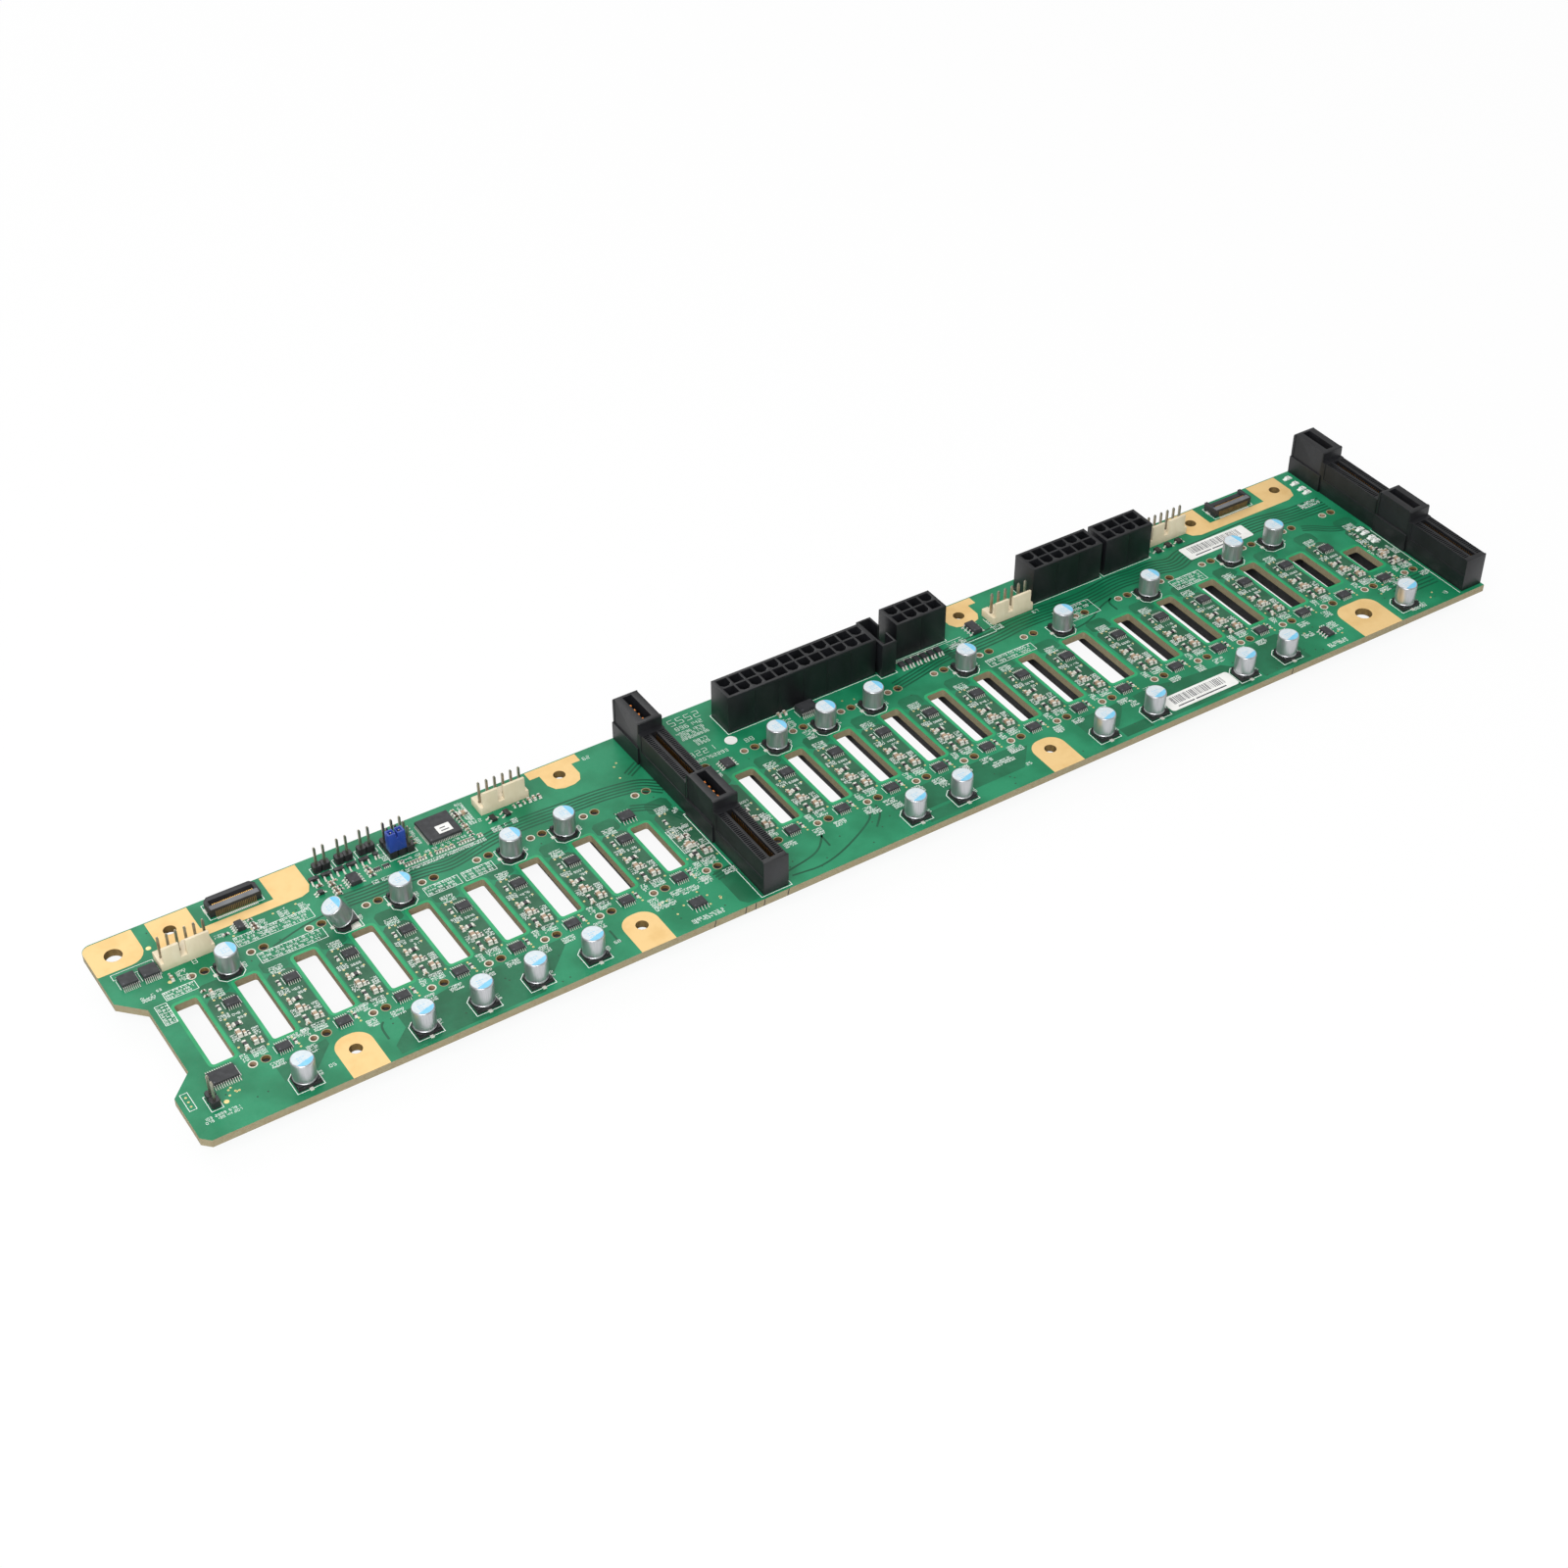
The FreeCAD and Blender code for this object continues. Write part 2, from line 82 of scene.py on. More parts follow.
# %% [markdown]
# Several like pieces share one node, such as the capacitors. To dress each of them, its corners are
# needed one by one. Faces that share an edge belong together, so a walk from corner to corner along the
# edges finds one solid, and the next walk starts at a corner that no walk has reached.


# %% Split a node into its solids
def welded(name):
    """A node's mesh with its doubled corners joined."""
    mesh = bmesh.new()
    mesh.from_mesh(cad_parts[name].data)
    bmesh.ops.remove_doubles(mesh, verts=mesh.verts, dist=0.001 * mm)
    mesh.verts.ensure_lookup_table()
    mesh.verts.index_update()
    return mesh


def mean(corners):
    """Mean of some corners."""
    return sum(corners, Vector()) / len(corners)


def solids_of(name):
    """The corners of each separate solid of a node, sorted by place."""
    mesh = welded(name)
    reached, found = set(), []
    for start in mesh.verts:
        if start.index in reached:
            continue
        reached.add(start.index)
        waiting, corners = [start], []
        while waiting:
            corner = waiting.pop()
            corners.append(corner.co / mm)
            for edge in corner.link_edges:
                other = edge.other_vert(corner)
                if other.index not in reached:
                    reached.add(other.index)
                    waiting.append(other)
        found.append(corners)
    mesh.free()
    return sorted(found, key=lambda corners: tuple(mean(corners)))


def boxes_of(name):
    """Lowest and highest corner of each separate solid of a node."""
    return [[Vector([pick(corner[axis] for corner in corners) for axis in range(3)]) for pick in (min, max)]
            for corners in solids_of(name)]


print("capacitors:", len(boxes_of("capacitor_cans")))

# %% [markdown]
# The board's openings are read in the same way. Where a flat top face meets an upright wall there is a
# rim edge, and rim edges joined end to end make closed loops: one outline, long vent slots and round holes.


# %% Read the board's outline, slots and holes
def rim_loops(name, level):
    """Closed loops of (x, y) points where a node's top face meets a wall."""
    mesh = welded(name)
    links = {}
    for edge in mesh.edges:
        flat = all(abs(corner.co.z / mm - level) < 0.001 for corner in edge.verts)
        if flat and any(abs(face.normal.z) < 0.5 for face in edge.link_faces):
            a, b = [corner.index for corner in edge.verts]
            links.setdefault(a, []).append(b)
            links.setdefault(b, []).append(a)
    loops = []
    while links:
        start = min(links)
        loop, after = [start], links.pop(start)[0]
        while after != start:
            loop.append(after)
            after = next((index for index in links.pop(after) if index in links), start)
        loops.append([tuple(mesh.verts[index].co.xy / mm) for index in loop])
    mesh.free()
    return loops


def extent(points):
    """Left, near, right and far ends of some points."""
    along_x, along_y = zip(*points)
    return min(along_x), min(along_y), max(along_x), max(along_y)


outline_span, slot_span, peg_radius = 100, 10, 1.3
slots, holes = [], []
for loop in rim_loops("board", top):
    left, near, right, far = extent(loop)
    if right - left > outline_span:
        outline = loop
    elif far - near > slot_span:
        slots.append((left, near, right, far))
    else:
        holes.append(((left + right) / 2, (near + far) / 2, (right - left) / 2))
slots.sort()
holes.sort()
peg_holes = [hole for hole in holes if abs(hole[2] - peg_radius) < 0.05]
screw_holes = [hole for hole in holes if hole not in peg_holes]
print("slots", len(slots), "peg holes", len(peg_holes), "screw holes", len(screw_holes))

# %% [markdown]
# ## Tools for shapes
# Most pieces here are stacks of outlines: a chip, a pin and a can are all a few rings joined from the
# bottom to the top. Outlines are lists of points seen from above, and a box on the ground is four numbers.


# %% Outlines and boxes on the ground
def circle(x, y, radius, sides=32):
    """Points of a circle, counter-clockwise."""
    turns = [2 * pi * index / sides for index in range(sides)]
    return [(x + radius * cos(turn), y + radius * sin(turn)) for turn in turns]


def rectangle(left, near, right, far):
    """Points of the rectangle between two opposite corners, counter-clockwise."""
    (left, right), (near, far) = sorted((left, right)), sorted((near, far))
    return [(left, near), (right, near), (right, far), (left, far)]


def rounded(left, near, right, far, radii, steps=5):
    """A rectangle with a radius at each corner: near left, near right, far right, far left."""
    radii = radii if isinstance(radii, tuple) else (radii,) * 4
    corners = ((left, near, 1, 1), (right, near, -1, 1), (right, far, -1, -1), (left, far, 1, -1))
    points = []
    for quarter, ((x, y, inward_x, inward_y), radius) in enumerate(zip(corners, radii)):
        for step in range(steps + 1 if radius else 1):
            turn = radians(180 + 90 * (quarter + step / steps))
            points.append((x + inward_x * radius + radius * cos(turn), y + inward_y * radius + radius * sin(turn)))
    return points


def ring(points, level):
    """An outline lifted to a level."""
    return [(x, y, level) for x, y in points]


def spot(x, y, reach_x, reach_y=None):
    """The box round a place: left, near, right and far."""
    reach_y = reach_x if reach_y is None else reach_y
    return x - reach_x, y - reach_y, x + reach_x, y + reach_y


def ground(low, high, reach=0.0):
    """The box on the ground below a solid, pushed out on all four sides."""
    return low[0] - reach, low[1] - reach, high[0] + reach, high[1] + reach


def grown(box, reach):
    """A box on the ground, pushed out on all four sides."""
    return ground(box[:2], box[2:], reach)


def overlap(a, b):
    """True if two boxes share some ground."""
    return a[0] < b[2] and b[0] < a[2] and a[1] < b[3] and b[1] < a[3]


print("points of a rounded rectangle:", len(rounded(0, 0, 2, 1, 0.2)))

# %% [markdown]
# One small class gathers lofts, blocks, turned forms and side views that are pushed out to a width. Each
# face remembers which finish it takes.


# %% One class that gathers faces
class Shape:
    """Corners and faces of one piece, in millimetres."""

    def __init__(self):
        self.corners, self.faces, self.finishes = [], [], []

    def add_face(self, indices, finish=0):
        """One face between corners that are there already."""
        self.faces.append(tuple(indices))
        self.finishes.append(finish)

    def loft(self, rings, finish=0, closed=True):
        """Join rings of equal length, from the lowest to the highest, and close both ends."""
        first, count = len(self.corners), len(rings[0])
        for points in rings:
            self.corners += [tuple(point) for point in points]
        last = len(self.corners) - count
        for low in range(first, last, count):
            for index in range(count):
                after = (index + 1) % count
                self.add_face((low + index, low + after, low + count + after, low + count + index), finish)
        if closed:
            self.add_face(range(first + count - 1, first - 1, -1), finish)
            self.add_face(range(last, last + count), finish)

    def plate(self, points, level, finish=0):
        """One flat face that looks up."""
        self.corners += ring(points, level)
        self.add_face(range(len(self.corners) - len(points), len(self.corners)), finish)

    def prism(self, points, low, high, finish=0):
        """An upright prism over an outline."""
        self.loft([ring(points, low), ring(points, high)], finish)

    def collar(self, outer, inner, level, finish=0):
        """A flat ring between two loops with the same number of points."""
        self.loft([ring(outer, level), ring(inner, level)], finish, closed=False)

    def lining(self, points, high, low, finish=0):
        """The wall of a hole."""
        self.loft([ring(points, high), ring(points, low)], finish, closed=False)

    def block(self, low, high, finish=0, ease=0.0):
        """A block between two opposite corners, its top edges eased by a small chamfer."""
        (left, right), (near, far) = sorted((low[0], high[0])), sorted((low[1], high[1]))
        stack = [ring(rectangle(left + inset, near + inset, right - inset, far - inset), level)
                 for inset, level in ((0, low[2]), (0, high[2] - ease), (ease, high[2]))]
        self.loft(stack if ease else stack[::2], finish)

    def turned(self, profile, x, y, sides=32, finish=0):
        """A turned form: a profile of (radius, level) pairs, from the lowest to the highest."""
        self.loft([ring(circle(x, y, radius, sides), level) for radius, level in profile], finish)

    def slab(self, side_view, origin, along, width, finish=0):
        """A side view of (distance, height) points, pushed out evenly to both sides."""
        along = Vector((*along, 0))
        across = Vector((-along.y, along.x, 0)) * (width / 2)
        self.loft([[Vector(origin) + along * distance + Vector((0, 0, height)) + across * side
                    for distance, height in side_view] for side in (1, -1)], finish)

    def placed(self, other, matrix):
        """Take in another shape, moved by a matrix."""
        first = len(self.corners)
        self.corners += [tuple(matrix @ Vector(corner)) for corner in other.corners]
        self.faces += [tuple(first + index for index in face) for face in other.faces]
        self.finishes += other.finishes


print("a shape starts with", len(Shape().faces), "faces")

# %% [markdown]
# A shape becomes a Blender object in one place only, so that each piece gets the same care: its finishes,
# smooth shading that breaks at real edges, and a ride on the one body of this part.

# %% Turn a shape into a piece
tally, looks = {}, {}


def as_mesh(name, shape):
    """A Blender mesh in metres."""
    mesh = bpy.data.meshes.new(name)
    mesh.from_pydata([Vector(corner) * mm for corner in shape.corners], [], shape.faces)
    mesh.update()
    return mesh


def dress(mesh, finishes, choice=()):
    """Give a mesh its finishes by name, a choice for each face, and smooth shading up to an angle."""
    mesh.materials.clear()
    for name in finishes.split():
        mesh.materials.append(looks[name])
    if choice:
        mesh.polygons.foreach_set("material_index", choice)
    mesh.polygons.foreach_set("use_smooth", [True] * len(mesh.polygons))
    mesh.set_sharp_from_angle(angle=radians(32))
    return mesh


def shown(thing):
    """Link an object to the scene."""
    bpy.context.collection.objects.link(thing)
    return thing


def put(name, mesh, stands_for=()):
    """Make an object of a mesh and let it ride on the part."""
    thing = shown(bpy.data.objects.new(name, mesh))
    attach(thing, "root")
    if stands_for:
        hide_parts(*stands_for)
    tally[name] = sum(len(face.vertices) - 2 for face in mesh.polygons)
    return thing


def piece(name, shape, finishes, stands_for=()):
    """A piece straight from its shape."""
    put(name, dress(as_mesh(name, shape), finishes, shape.finishes), stands_for)
    print(name, tally[name], "triangles")


# %% [markdown]
# Two more ways of making a mesh are needed. A flat sheet with openings comes from a two-dimensional curve,
# because a filled curve finds its own openings. A housing with cells comes from a boolean difference
# followed by a bevel, because cutting is how the mould makes it, and the bevel gives edges that catch light.


# %% Sheets from curves and housings from differences
def settled(thing):
    """The mesh of an object once its modifiers have run."""
    depsgraph = bpy.context.evaluated_depsgraph_get()
    mesh = bpy.data.meshes.new_from_object(thing.evaluated_get(depsgraph))
    bpy.data.objects.remove(thing)
    return mesh


def sheet(name, outlines, low, high):
    """A flat sheet: the first outline is its edge and the others are openings."""
    curve = bpy.data.curves.new(name, "CURVE")
    curve.dimensions = "2D"
    curve.fill_mode = "BOTH"
    curve.extrude = (high - low) / 2
    for points in outlines:
        spline = curve.splines.new("POLY")
        spline.points.add(len(points) - 1)
        for place, (x, y) in zip(spline.points, points):
            place.co = (x, y, 0, 1)
        spline.use_cyclic_u = True
    mesh = settled(shown(bpy.data.objects.new(name, curve)))
    mesh.transform(Matrix.Scale(mm, 4) @ Matrix.Translation((0, 0, (low + high) / 2)))
    bpy.data.curves.remove(curve)
    return mesh


def carved(name, solid, cutter, bevel):
    """A solid less its cutters, with its sharp edges bevelled."""
    body, tool = [shown(bpy.data.objects.new(name, as_mesh(name, shape))) for shape in (solid, cutter)]
    cut = body.modifiers.new("cut", "BOOLEAN")
    cut.operation, cut.solver, cut.use_self, cut.object = "DIFFERENCE", "EXACT", True, tool
    ease = body.modifiers.new("ease", "BEVEL")
    ease.width, ease.segments, ease.use_clamp_overlap = bevel * mm, 2, True
    ease.limit_method, ease.angle_limit = "ANGLE", radians(40)
    mesh = settled(body)
    bpy.data.objects.remove(tool)
    return mesh


def housing(name, solid, cutter, bevel, finish):
    """A carved housing that stands for a node."""
    put(name + "_housing", dress(carved(name + "_housing", solid, cutter, bevel), finish), [name])


def hung(name, mesh, place):
    """A copy of a housing, moved to its place."""
    thing = put(name + "_housing", mesh.copy(), [name])
    thing.data.transform(Matrix.Translation(Vector(place) * mm))


print("three ways of making a mesh are ready")

# %% [markdown]
# ## Tools for finishes
# A finish is a small network of nodes. Wiring it by hand hides the idea behind it, so one class wraps a
# socket and lets Python's arithmetic add the Math nodes.


# %% A wire that can be added and multiplied
class Wire:
    """One output socket of a finish, with the arithmetic of shader maths."""

    def __init__(self, finish, socket):
        self.finish, self.socket = finish, socket

    def joined(self, operation, first, second):
        """Add the node for one step of arithmetic."""
        return self.finish.node("ShaderNodeMath", {"operation": operation}, {0: first, 1: second})

    def __add__(self, other):
        return self.joined("ADD", self, other)

    def __radd__(self, other):
        return self.joined("ADD", other, self)

    def __sub__(self, other):
        return self.joined("SUBTRACT", self, other)

    def __rsub__(self, other):
        return self.joined("SUBTRACT", other, self)

    def __mul__(self, other):
        return self.joined("MULTIPLY", self, other)

    def __rmul__(self, other):
        return self.joined("MULTIPLY", other, self)

    def step(self, low, high):
        """0 below low, 1 above high, and a smooth slope between them."""
        return self.finish.node("ShaderNodeMapRange", {"interpolation_type": "SMOOTHSTEP"},
                                {0: self, 1: low, 2: high})


print("operators ready:", [name for name in dir(Wire) if name in ("__add__", "__rsub__", "__mul__")])

# %% [markdown]
# A second class is the material itself. It knows the place on the surface in the object's own frame, so
# its noise keeps its size on every piece, and one method adds any kind of node.


# %% A finish that adds any node
def linear(colour):
    """A colour as seen on a screen, 0 to 255, turned into light."""
    parts = [part / 255 for part in colour]
    return tuple(part / 12.92 if part <= 0.04045 else ((part + 0.055) / 1.055) ** 2.4 for part in parts) + (1.0,)


class Finish:
    """A material, the place on the surface, and one method for every kind of node."""

    def __init__(self, name, **fixed):
        looks[name] = bpy.data.materials.new(name)
        looks[name].use_nodes = True
        self.tree = looks[name].node_tree
        self.shader = self.tree.nodes["Principled BSDF"]
        self.paint(**fixed)
        self.place = self.node("ShaderNodeTexCoord", {}, {}, out="Object")

    def node(self, kind, settings, sockets, out=0):
        """Add a node: its settings first, then the values or wires of its sockets."""
        node = self.tree.nodes.new(kind)
        for name, value in settings.items():
            setattr(node, name, value)
        for name, value in sockets.items():
            self.feed(node.inputs[name], value)
        return Wire(self, node.outputs[out])

    def feed(self, socket, value):
        """Link a wire to a socket, or set its value."""
        if isinstance(value, Wire):
            self.tree.links.new(value.socket, socket)
        else:
            socket.default_value = value

    def speckle(self, size, detail=2.0, stretch=(1.0, 1.0, 1.0)):
        """Noise whose blotches are about size millimetres across."""
        place = self.node("ShaderNodeMapping", {}, {"Vector": self.place, "Scale": stretch})
        return self.node("ShaderNodeTexNoise", {}, {"Vector": place, "Scale": 1 / (size * mm), "Detail": detail,
                                                    "Roughness": 0.5})

    def blend(self, factor, first, second):
        """Mix two colours, each of them a wire or as seen on a screen."""
        first, second = [linear(colour) if isinstance(colour, tuple) else colour for colour in (first, second)]
        return self.node("ShaderNodeMix", {"data_type": "RGBA"}, {0: factor, 6: first, 7: second}, out=2)

    def bump(self, height, depth, strength):
        """Raise the surface by height, at most depth millimetres."""
        raised = self.node("ShaderNodeBump", {}, {"Strength": strength, "Distance": depth * mm, "Height": height})
        self.paint(Normal=raised)

    def paint(self, **inputs):
        """Feed values and what varies over the surface into the shader."""
        for name, value in inputs.items():
            self.feed(self.shader.inputs[name.replace("_", " ")], value)


print("white turns into", linear((255, 255, 255)))

# %% [markdown]
# ### Solder mask
# The green is a thin glossy lacquer. Over bare laminate it is light, over copper planes it turns duller,
# and over copper tracks it looks a little darker. So one recipe makes all of these greens from two shades.
# The cloudy change comes from the copper below, and a very fine ripple comes from the glass weave.

# %% Greens
greens = (  # name, light shade, dark shade, size of the clouds
    ("mask_green", (34, 140, 98), (14, 118, 78), 14.0), ("clear_green", (44, 164, 108), (28, 150, 94), 6.0),
    ("plane_green", (46, 100, 72), (30, 88, 60), 5.0), ("track_green", (12, 92, 62), (7, 80, 52), 8.0),
    ("deep_green", (24, 112, 76), (14, 96, 62), 9.0),
)
for name, light, dark, cloud in greens:
    lacquer = Finish(name, IOR=1.5, Specular_IOR_Level=0.35)
    shade = lacquer.blend(lacquer.speckle(cloud, detail=3.0).step(0.35, 0.65), light, dark)
    grain = lacquer.speckle(0.9)
    lacquer.paint(Base_Color=lacquer.blend(grain * 0.25, shade, dark), Roughness=0.36 + grain * 0.16)
    lacquer.bump(lacquer.speckle(0.35, detail=1.0), 0.012, 0.5)
print("greens:", len(greens))

# %% [markdown]
# ### Laminate edge
# Where the board was sawn and routed, its layers of glass cloth show as fine tan and brown lines along
# the edge. The height on the wall sets the layer, and a noise stretched along the board frays it.

# %% Sawn edge
layer_count = 9
edge = Finish("laminate_edge", Roughness=0.8, IOR=1.45)
height = edge.node("ShaderNodeSeparateXYZ", {}, {0: edge.place}, out="Z")
frayed = edge.speckle(3.0, detail=4.0, stretch=(0.3, 0.3, 3.0))
layers = edge.node("ShaderNodeMath", {"operation": "SINE"},
                   {0: height * (2 * pi * layer_count / (top * mm)) + frayed * 3.0})
tone = edge.blend(layers.step(-0.6, 0.9), (132, 122, 94), (168, 158, 128))
edge.paint(Base_Color=edge.blend(edge.speckle(1.2, detail=5.0).step(0.45, 0.7), tone, (146, 132, 102)))
edge.bump(frayed + layers * 0.3, 0.05, 0.6)
print("layers on the edge:", layer_count)

# %% [markdown]
# ### Metals
# The screw pads are plated with gold over nickel, a pale warm yellow that is satin rather than shiny.
# Solder and tin are grey white with a soft sparkle. Cans are drawn aluminium, with faint upright lines.

# %% Gold, tin, copper and aluminium
metals = (  # name, colour, worn colour, roughness, how metallic, size of the stains
    ("gold_pad", (240, 205, 143), (228, 188, 121), 0.5, 0.35, 5.0),
    ("gold_spot", (238, 222, 160), (214, 190, 120), 0.4, 0.4, 1.5),
    ("gold_contact", (226, 176, 96), (196, 140, 70), 0.3, 1.0, 1.5),
    ("copper_blade", (214, 130, 66), (168, 92, 44), 0.35, 1.0, 1.5),
    ("tin", (222, 222, 214), (188, 188, 180), 0.42, 0.35, 1.5),
    ("solder", (226, 226, 216), (186, 184, 172), 0.4, 0.25, 0.4),
    ("brass_leg", (150, 130, 88), (112, 94, 58), 0.45, 0.6, 1.5),
    ("steel_pin", (176, 170, 156), (140, 134, 122), 0.3, 1.0, 1.5),
    ("ring_metal", (226, 224, 208), (190, 186, 168), 0.45, 0.3, 0.6),
)
for name, colour, worn, roughness, metallic, size in metals:
    plated = Finish(name, Metallic=metallic)
    stain = plated.speckle(size, detail=4.0).step(0.4, 0.75)
    scratches = plated.speckle(0.12, detail=1.0, stretch=(1.0, 0.15, 1.0))
    plated.paint(Base_Color=plated.blend(stain * 0.6, colour, worn), Roughness=roughness + scratches * 0.15)
    plated.bump(scratches, 0.01, 0.4)

can_metal = Finish("can_aluminium", Metallic=0.85)
drawn = can_metal.speckle(0.25, stretch=(1.0, 1.0, 0.04))
can_metal.paint(Base_Color=can_metal.blend(drawn.step(0.35, 0.7) * 0.5, (194, 195, 198), (168, 170, 174)),
                Roughness=0.26 + drawn * 0.14)
can_metal.bump(drawn, 0.01, 0.35)
print("metals:", len(metals) + 1)

# %% [markdown]
# ### Plastics, ceramics, ink and paper
# Mould makers spark-erode their tools, so connector plastic has a fine matte grain, and the way it flowed
# leaves faint paler clouds. The same recipe serves every moulded or printed piece, with its own two
# colours, roughness and size of clouds.


# %% Moulded plastic and small finishes
def moulded(name, colour, pale, roughness, cloud=4.0, grain=0.12, depth=0.012):
    """Moulded plastic with spark-eroded grain and faint flow marks."""
    finish = Finish(name, IOR=1.5)
    flow = finish.speckle(cloud, detail=3.0, stretch=(1.0, 1.0, 0.5))
    fine = finish.speckle(grain)
    finish.paint(Base_Color=finish.blend(flow.step(0.3, 0.8), colour, pale),
                 Roughness=roughness - 0.06 + fine * 0.14)
    finish.bump(fine, depth, 0.7)


# Name, colour, paler colour, roughness, and where they differ: size of clouds, size of grain, its depth
plastics = (
    ("card_black", (16, 17, 20), (27, 28, 32), 0.42), ("power_black", (15, 16, 19), (26, 27, 31), 0.4),
    ("rim_grey", (84, 86, 92), (98, 100, 106), 0.5), ("socket_black", (22, 22, 24), (34, 34, 37), 0.55),
    ("base_black", (26, 26, 28), (40, 40, 42), 0.4), ("cream", (222, 208, 178), (233, 220, 193), 0.48, 3.0),
    ("chip_black", (44, 45, 48), (60, 61, 64), 0.6, 1.5, 0.08, 0.02),
    ("signal_dark", (34, 35, 38), (48, 49, 53), 0.5), ("ledge_grey", (100, 102, 106), (120, 122, 126), 0.5),
    ("shunt_blue", (36, 62, 150), (50, 80, 172), 0.35),
    ("tan_ceramic", (184, 160, 134), (150, 122, 98), 0.5, 0.8, 0.1, 0.01),
    ("brown_ceramic", (116, 92, 76), (86, 66, 54), 0.5, 0.8, 0.1, 0.01),
    ("resistor_black", (34, 34, 36), (52, 52, 54), 0.35, 0.8),
    ("can_white", (212, 221, 225), (198, 210, 216), 0.4, 1.0),
    ("can_blue", (116, 194, 230), (136, 204, 234), 0.35, 1.0),
    ("print_white", (248, 253, 248), (232, 242, 234), 0.6, 0.7, 0.1, 0.01),
    ("label_paper", (240, 240, 236), (228, 228, 224), 0.5, 5.0),
    ("label_ink", (58, 60, 66), (96, 98, 104), 0.6, 0.6), ("lamp_white", (246, 248, 244), (228, 232, 226), 0.35, 0.8),
    ("lamp_lens", (170, 160, 156), (140, 132, 130), 0.15, 0.8), ("scored_dark", (52, 48, 42), (78, 72, 60), 0.8, 0.5),
    # The brown of the hole linings is painted shade, the dim inside of a deep hole
    ("hole_brown", (136, 110, 62), (100, 78, 42), 0.7, 1.2),
)
for plastic in plastics:
    moulded(*plastic)
print("moulded and printed finishes:", len(plastics))

# %% [markdown]
# ## The bare board
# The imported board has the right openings, with few faces. Here it is cut again from the same outline, with
# real arcs at each slot corner and a fine circle at each hole. One more round hole goes beside each peg
# hole: the drive receptacle's metal hold-down is soldered there, and it shows as a pale ring.

# %% Board with fine openings
slot_radius, ring_step, ring_hole_radius, ring_radius = 0.8, -3.6, 0.95, 1.3
ring_places = [(x + ring_step, y) for x, y, radius in peg_holes]
cuts = [rounded(*slot, slot_radius) for slot in slots]
cuts += [circle(*hole, 28) for hole in peg_holes] + [circle(*hole, 48) for hole in screw_holes]
cuts += [circle(x, y, ring_hole_radius, 20) for x, y in ring_places]
board_mesh = sheet("board_laminate", [outline] + cuts, board_low.z, top)
dress(board_mesh, "mask_green laminate_edge", [int(abs(face.normal.z) < 0.5) for face in board_mesh.polygons])
put("board_laminate", board_mesh, ["board"])
print("board_laminate", tally["board_laminate"], "triangles, openings", len(cuts))

# %% [markdown]
# ## What lies under and on the mask
# Thin layers lie over each other on the board: copper under the mask, bare gold and tin, then white print.
# Each layer gets its own level a few thousandths of a millimetre higher, so that none of them flickers.
# Round each vent slot the copper stops short of the routed edge, so a rim of clear mask looks brighter.

# %% Levels of the layers, and bright rims round the slots
clear_level, plane_level, track_level = top + 0.004, top + 0.008, top + 0.014
pad_level, print_level = top + 0.03, top + 0.042
rim_width = 0.95
rims = Shape()
for slot in slots:
    rims.collar(rounded(*grown(slot, rim_width), slot_radius + rim_width), rounded(*slot, slot_radius), clear_level)
piece("slot_rims", rims, "clear_green")

# %% [markdown]
# Between two slots lies the strip of one bay. A plane of copper with bevelled corners fills its middle, and
# a smaller one of a deeper green lies beyond it. Larger deep green planes run along the near edge.

# %% Copper planes under the mask
planes = Shape()
far_peg_y = max(y for x, y, radius in peg_holes)
for number, x in enumerate(bays, 1):
    left, right = x - (3.2 if number == 10 else 4.4), x + 3.6
    planes.plate([(left, -51.4), (left + 2.2, -53.2), (right - 1.6, -53.2), (right, -51.0),
                  (right, -30.6), (right - 1.4, -29.2), (left + 1.2, -29.2), (left, -30.5)], plane_level)
    planes.plate([(x - 4.2, -27.8), (x - 3.2, -28.6), (x + 2.2, -28.6), (x + 3.2, -27.8), (x + 3.2, -24.4),
                  (x + 2.0, -23.2), (x - 3.0, -23.2), (x - 4.2, -24.4)], plane_level, 1)
near_planes = (
    [(19, -60.5), (27, -59.5), (34, -58.4), (34, -60.6), (28, -66.8), (19, -66.8)],
    [(48, -70.5), (53, -66), (53, -60.5), (63, -60), (69, -59), (102.5, -58.6), (102.8, -61), (91, -72.6),
     (89.5, -74), (48, -74)],
    [(150.5, -58), (157, -58), (157, -74), (152, -74), (150.5, -72)],
    [(207, -59), (249, -59), (256, -61), (249.5, -68.6), (216, -68.6), (207, -64)],
    [(214, -69.8), (223.5, -69.8), (223.5, -73.8), (213, -73.8)],
    [(274, -59.5), (292, -59.5), (289, -63.5), (284, -68.6), (274, -66)],
    [(283, -69.8), (293, -69.8), (293, -73.8), (283, -73.8)],
    [(296, -59.5), (304, -58.8), (312, -60.5), (328, -62), (331, -65), (331, -73.6), (298, -73.6), (296, -71)],
    [(336, -64), (341, -59), (352, -59), (354, -61), (354, -73.6), (336, -73.6)],
)
for points in near_planes:
    planes.plate(points[::-1], plane_level, 1)
piece("copper_planes", planes, "plane_green deep_green")

# %% [markdown]
# ### Tracks
# Signals run in bundles of equal tracks that bend together. A bundle is one given line and a pitch.
# Each track is that line pushed sideways, and at a bend the push follows the line that halves the angle.


# %% Bundles of tracks
def pushed(points, distance):
    """A line of points pushed sideways, with mitred bends."""
    places = [Vector(point) for point in points]
    runs = [(after - before).normalized() for before, after in zip(places, places[1:])]
    moved = []
    for here, before, after in zip(places, runs[:1] + runs, runs + runs[-1:]):
        run = (before + after).normalized()
        side, square = Vector((-run.y, run.x)), Vector((-before.y, before.x))
        moved.append(here + side * (distance / max(0.5, side.dot(square))))
    return moved


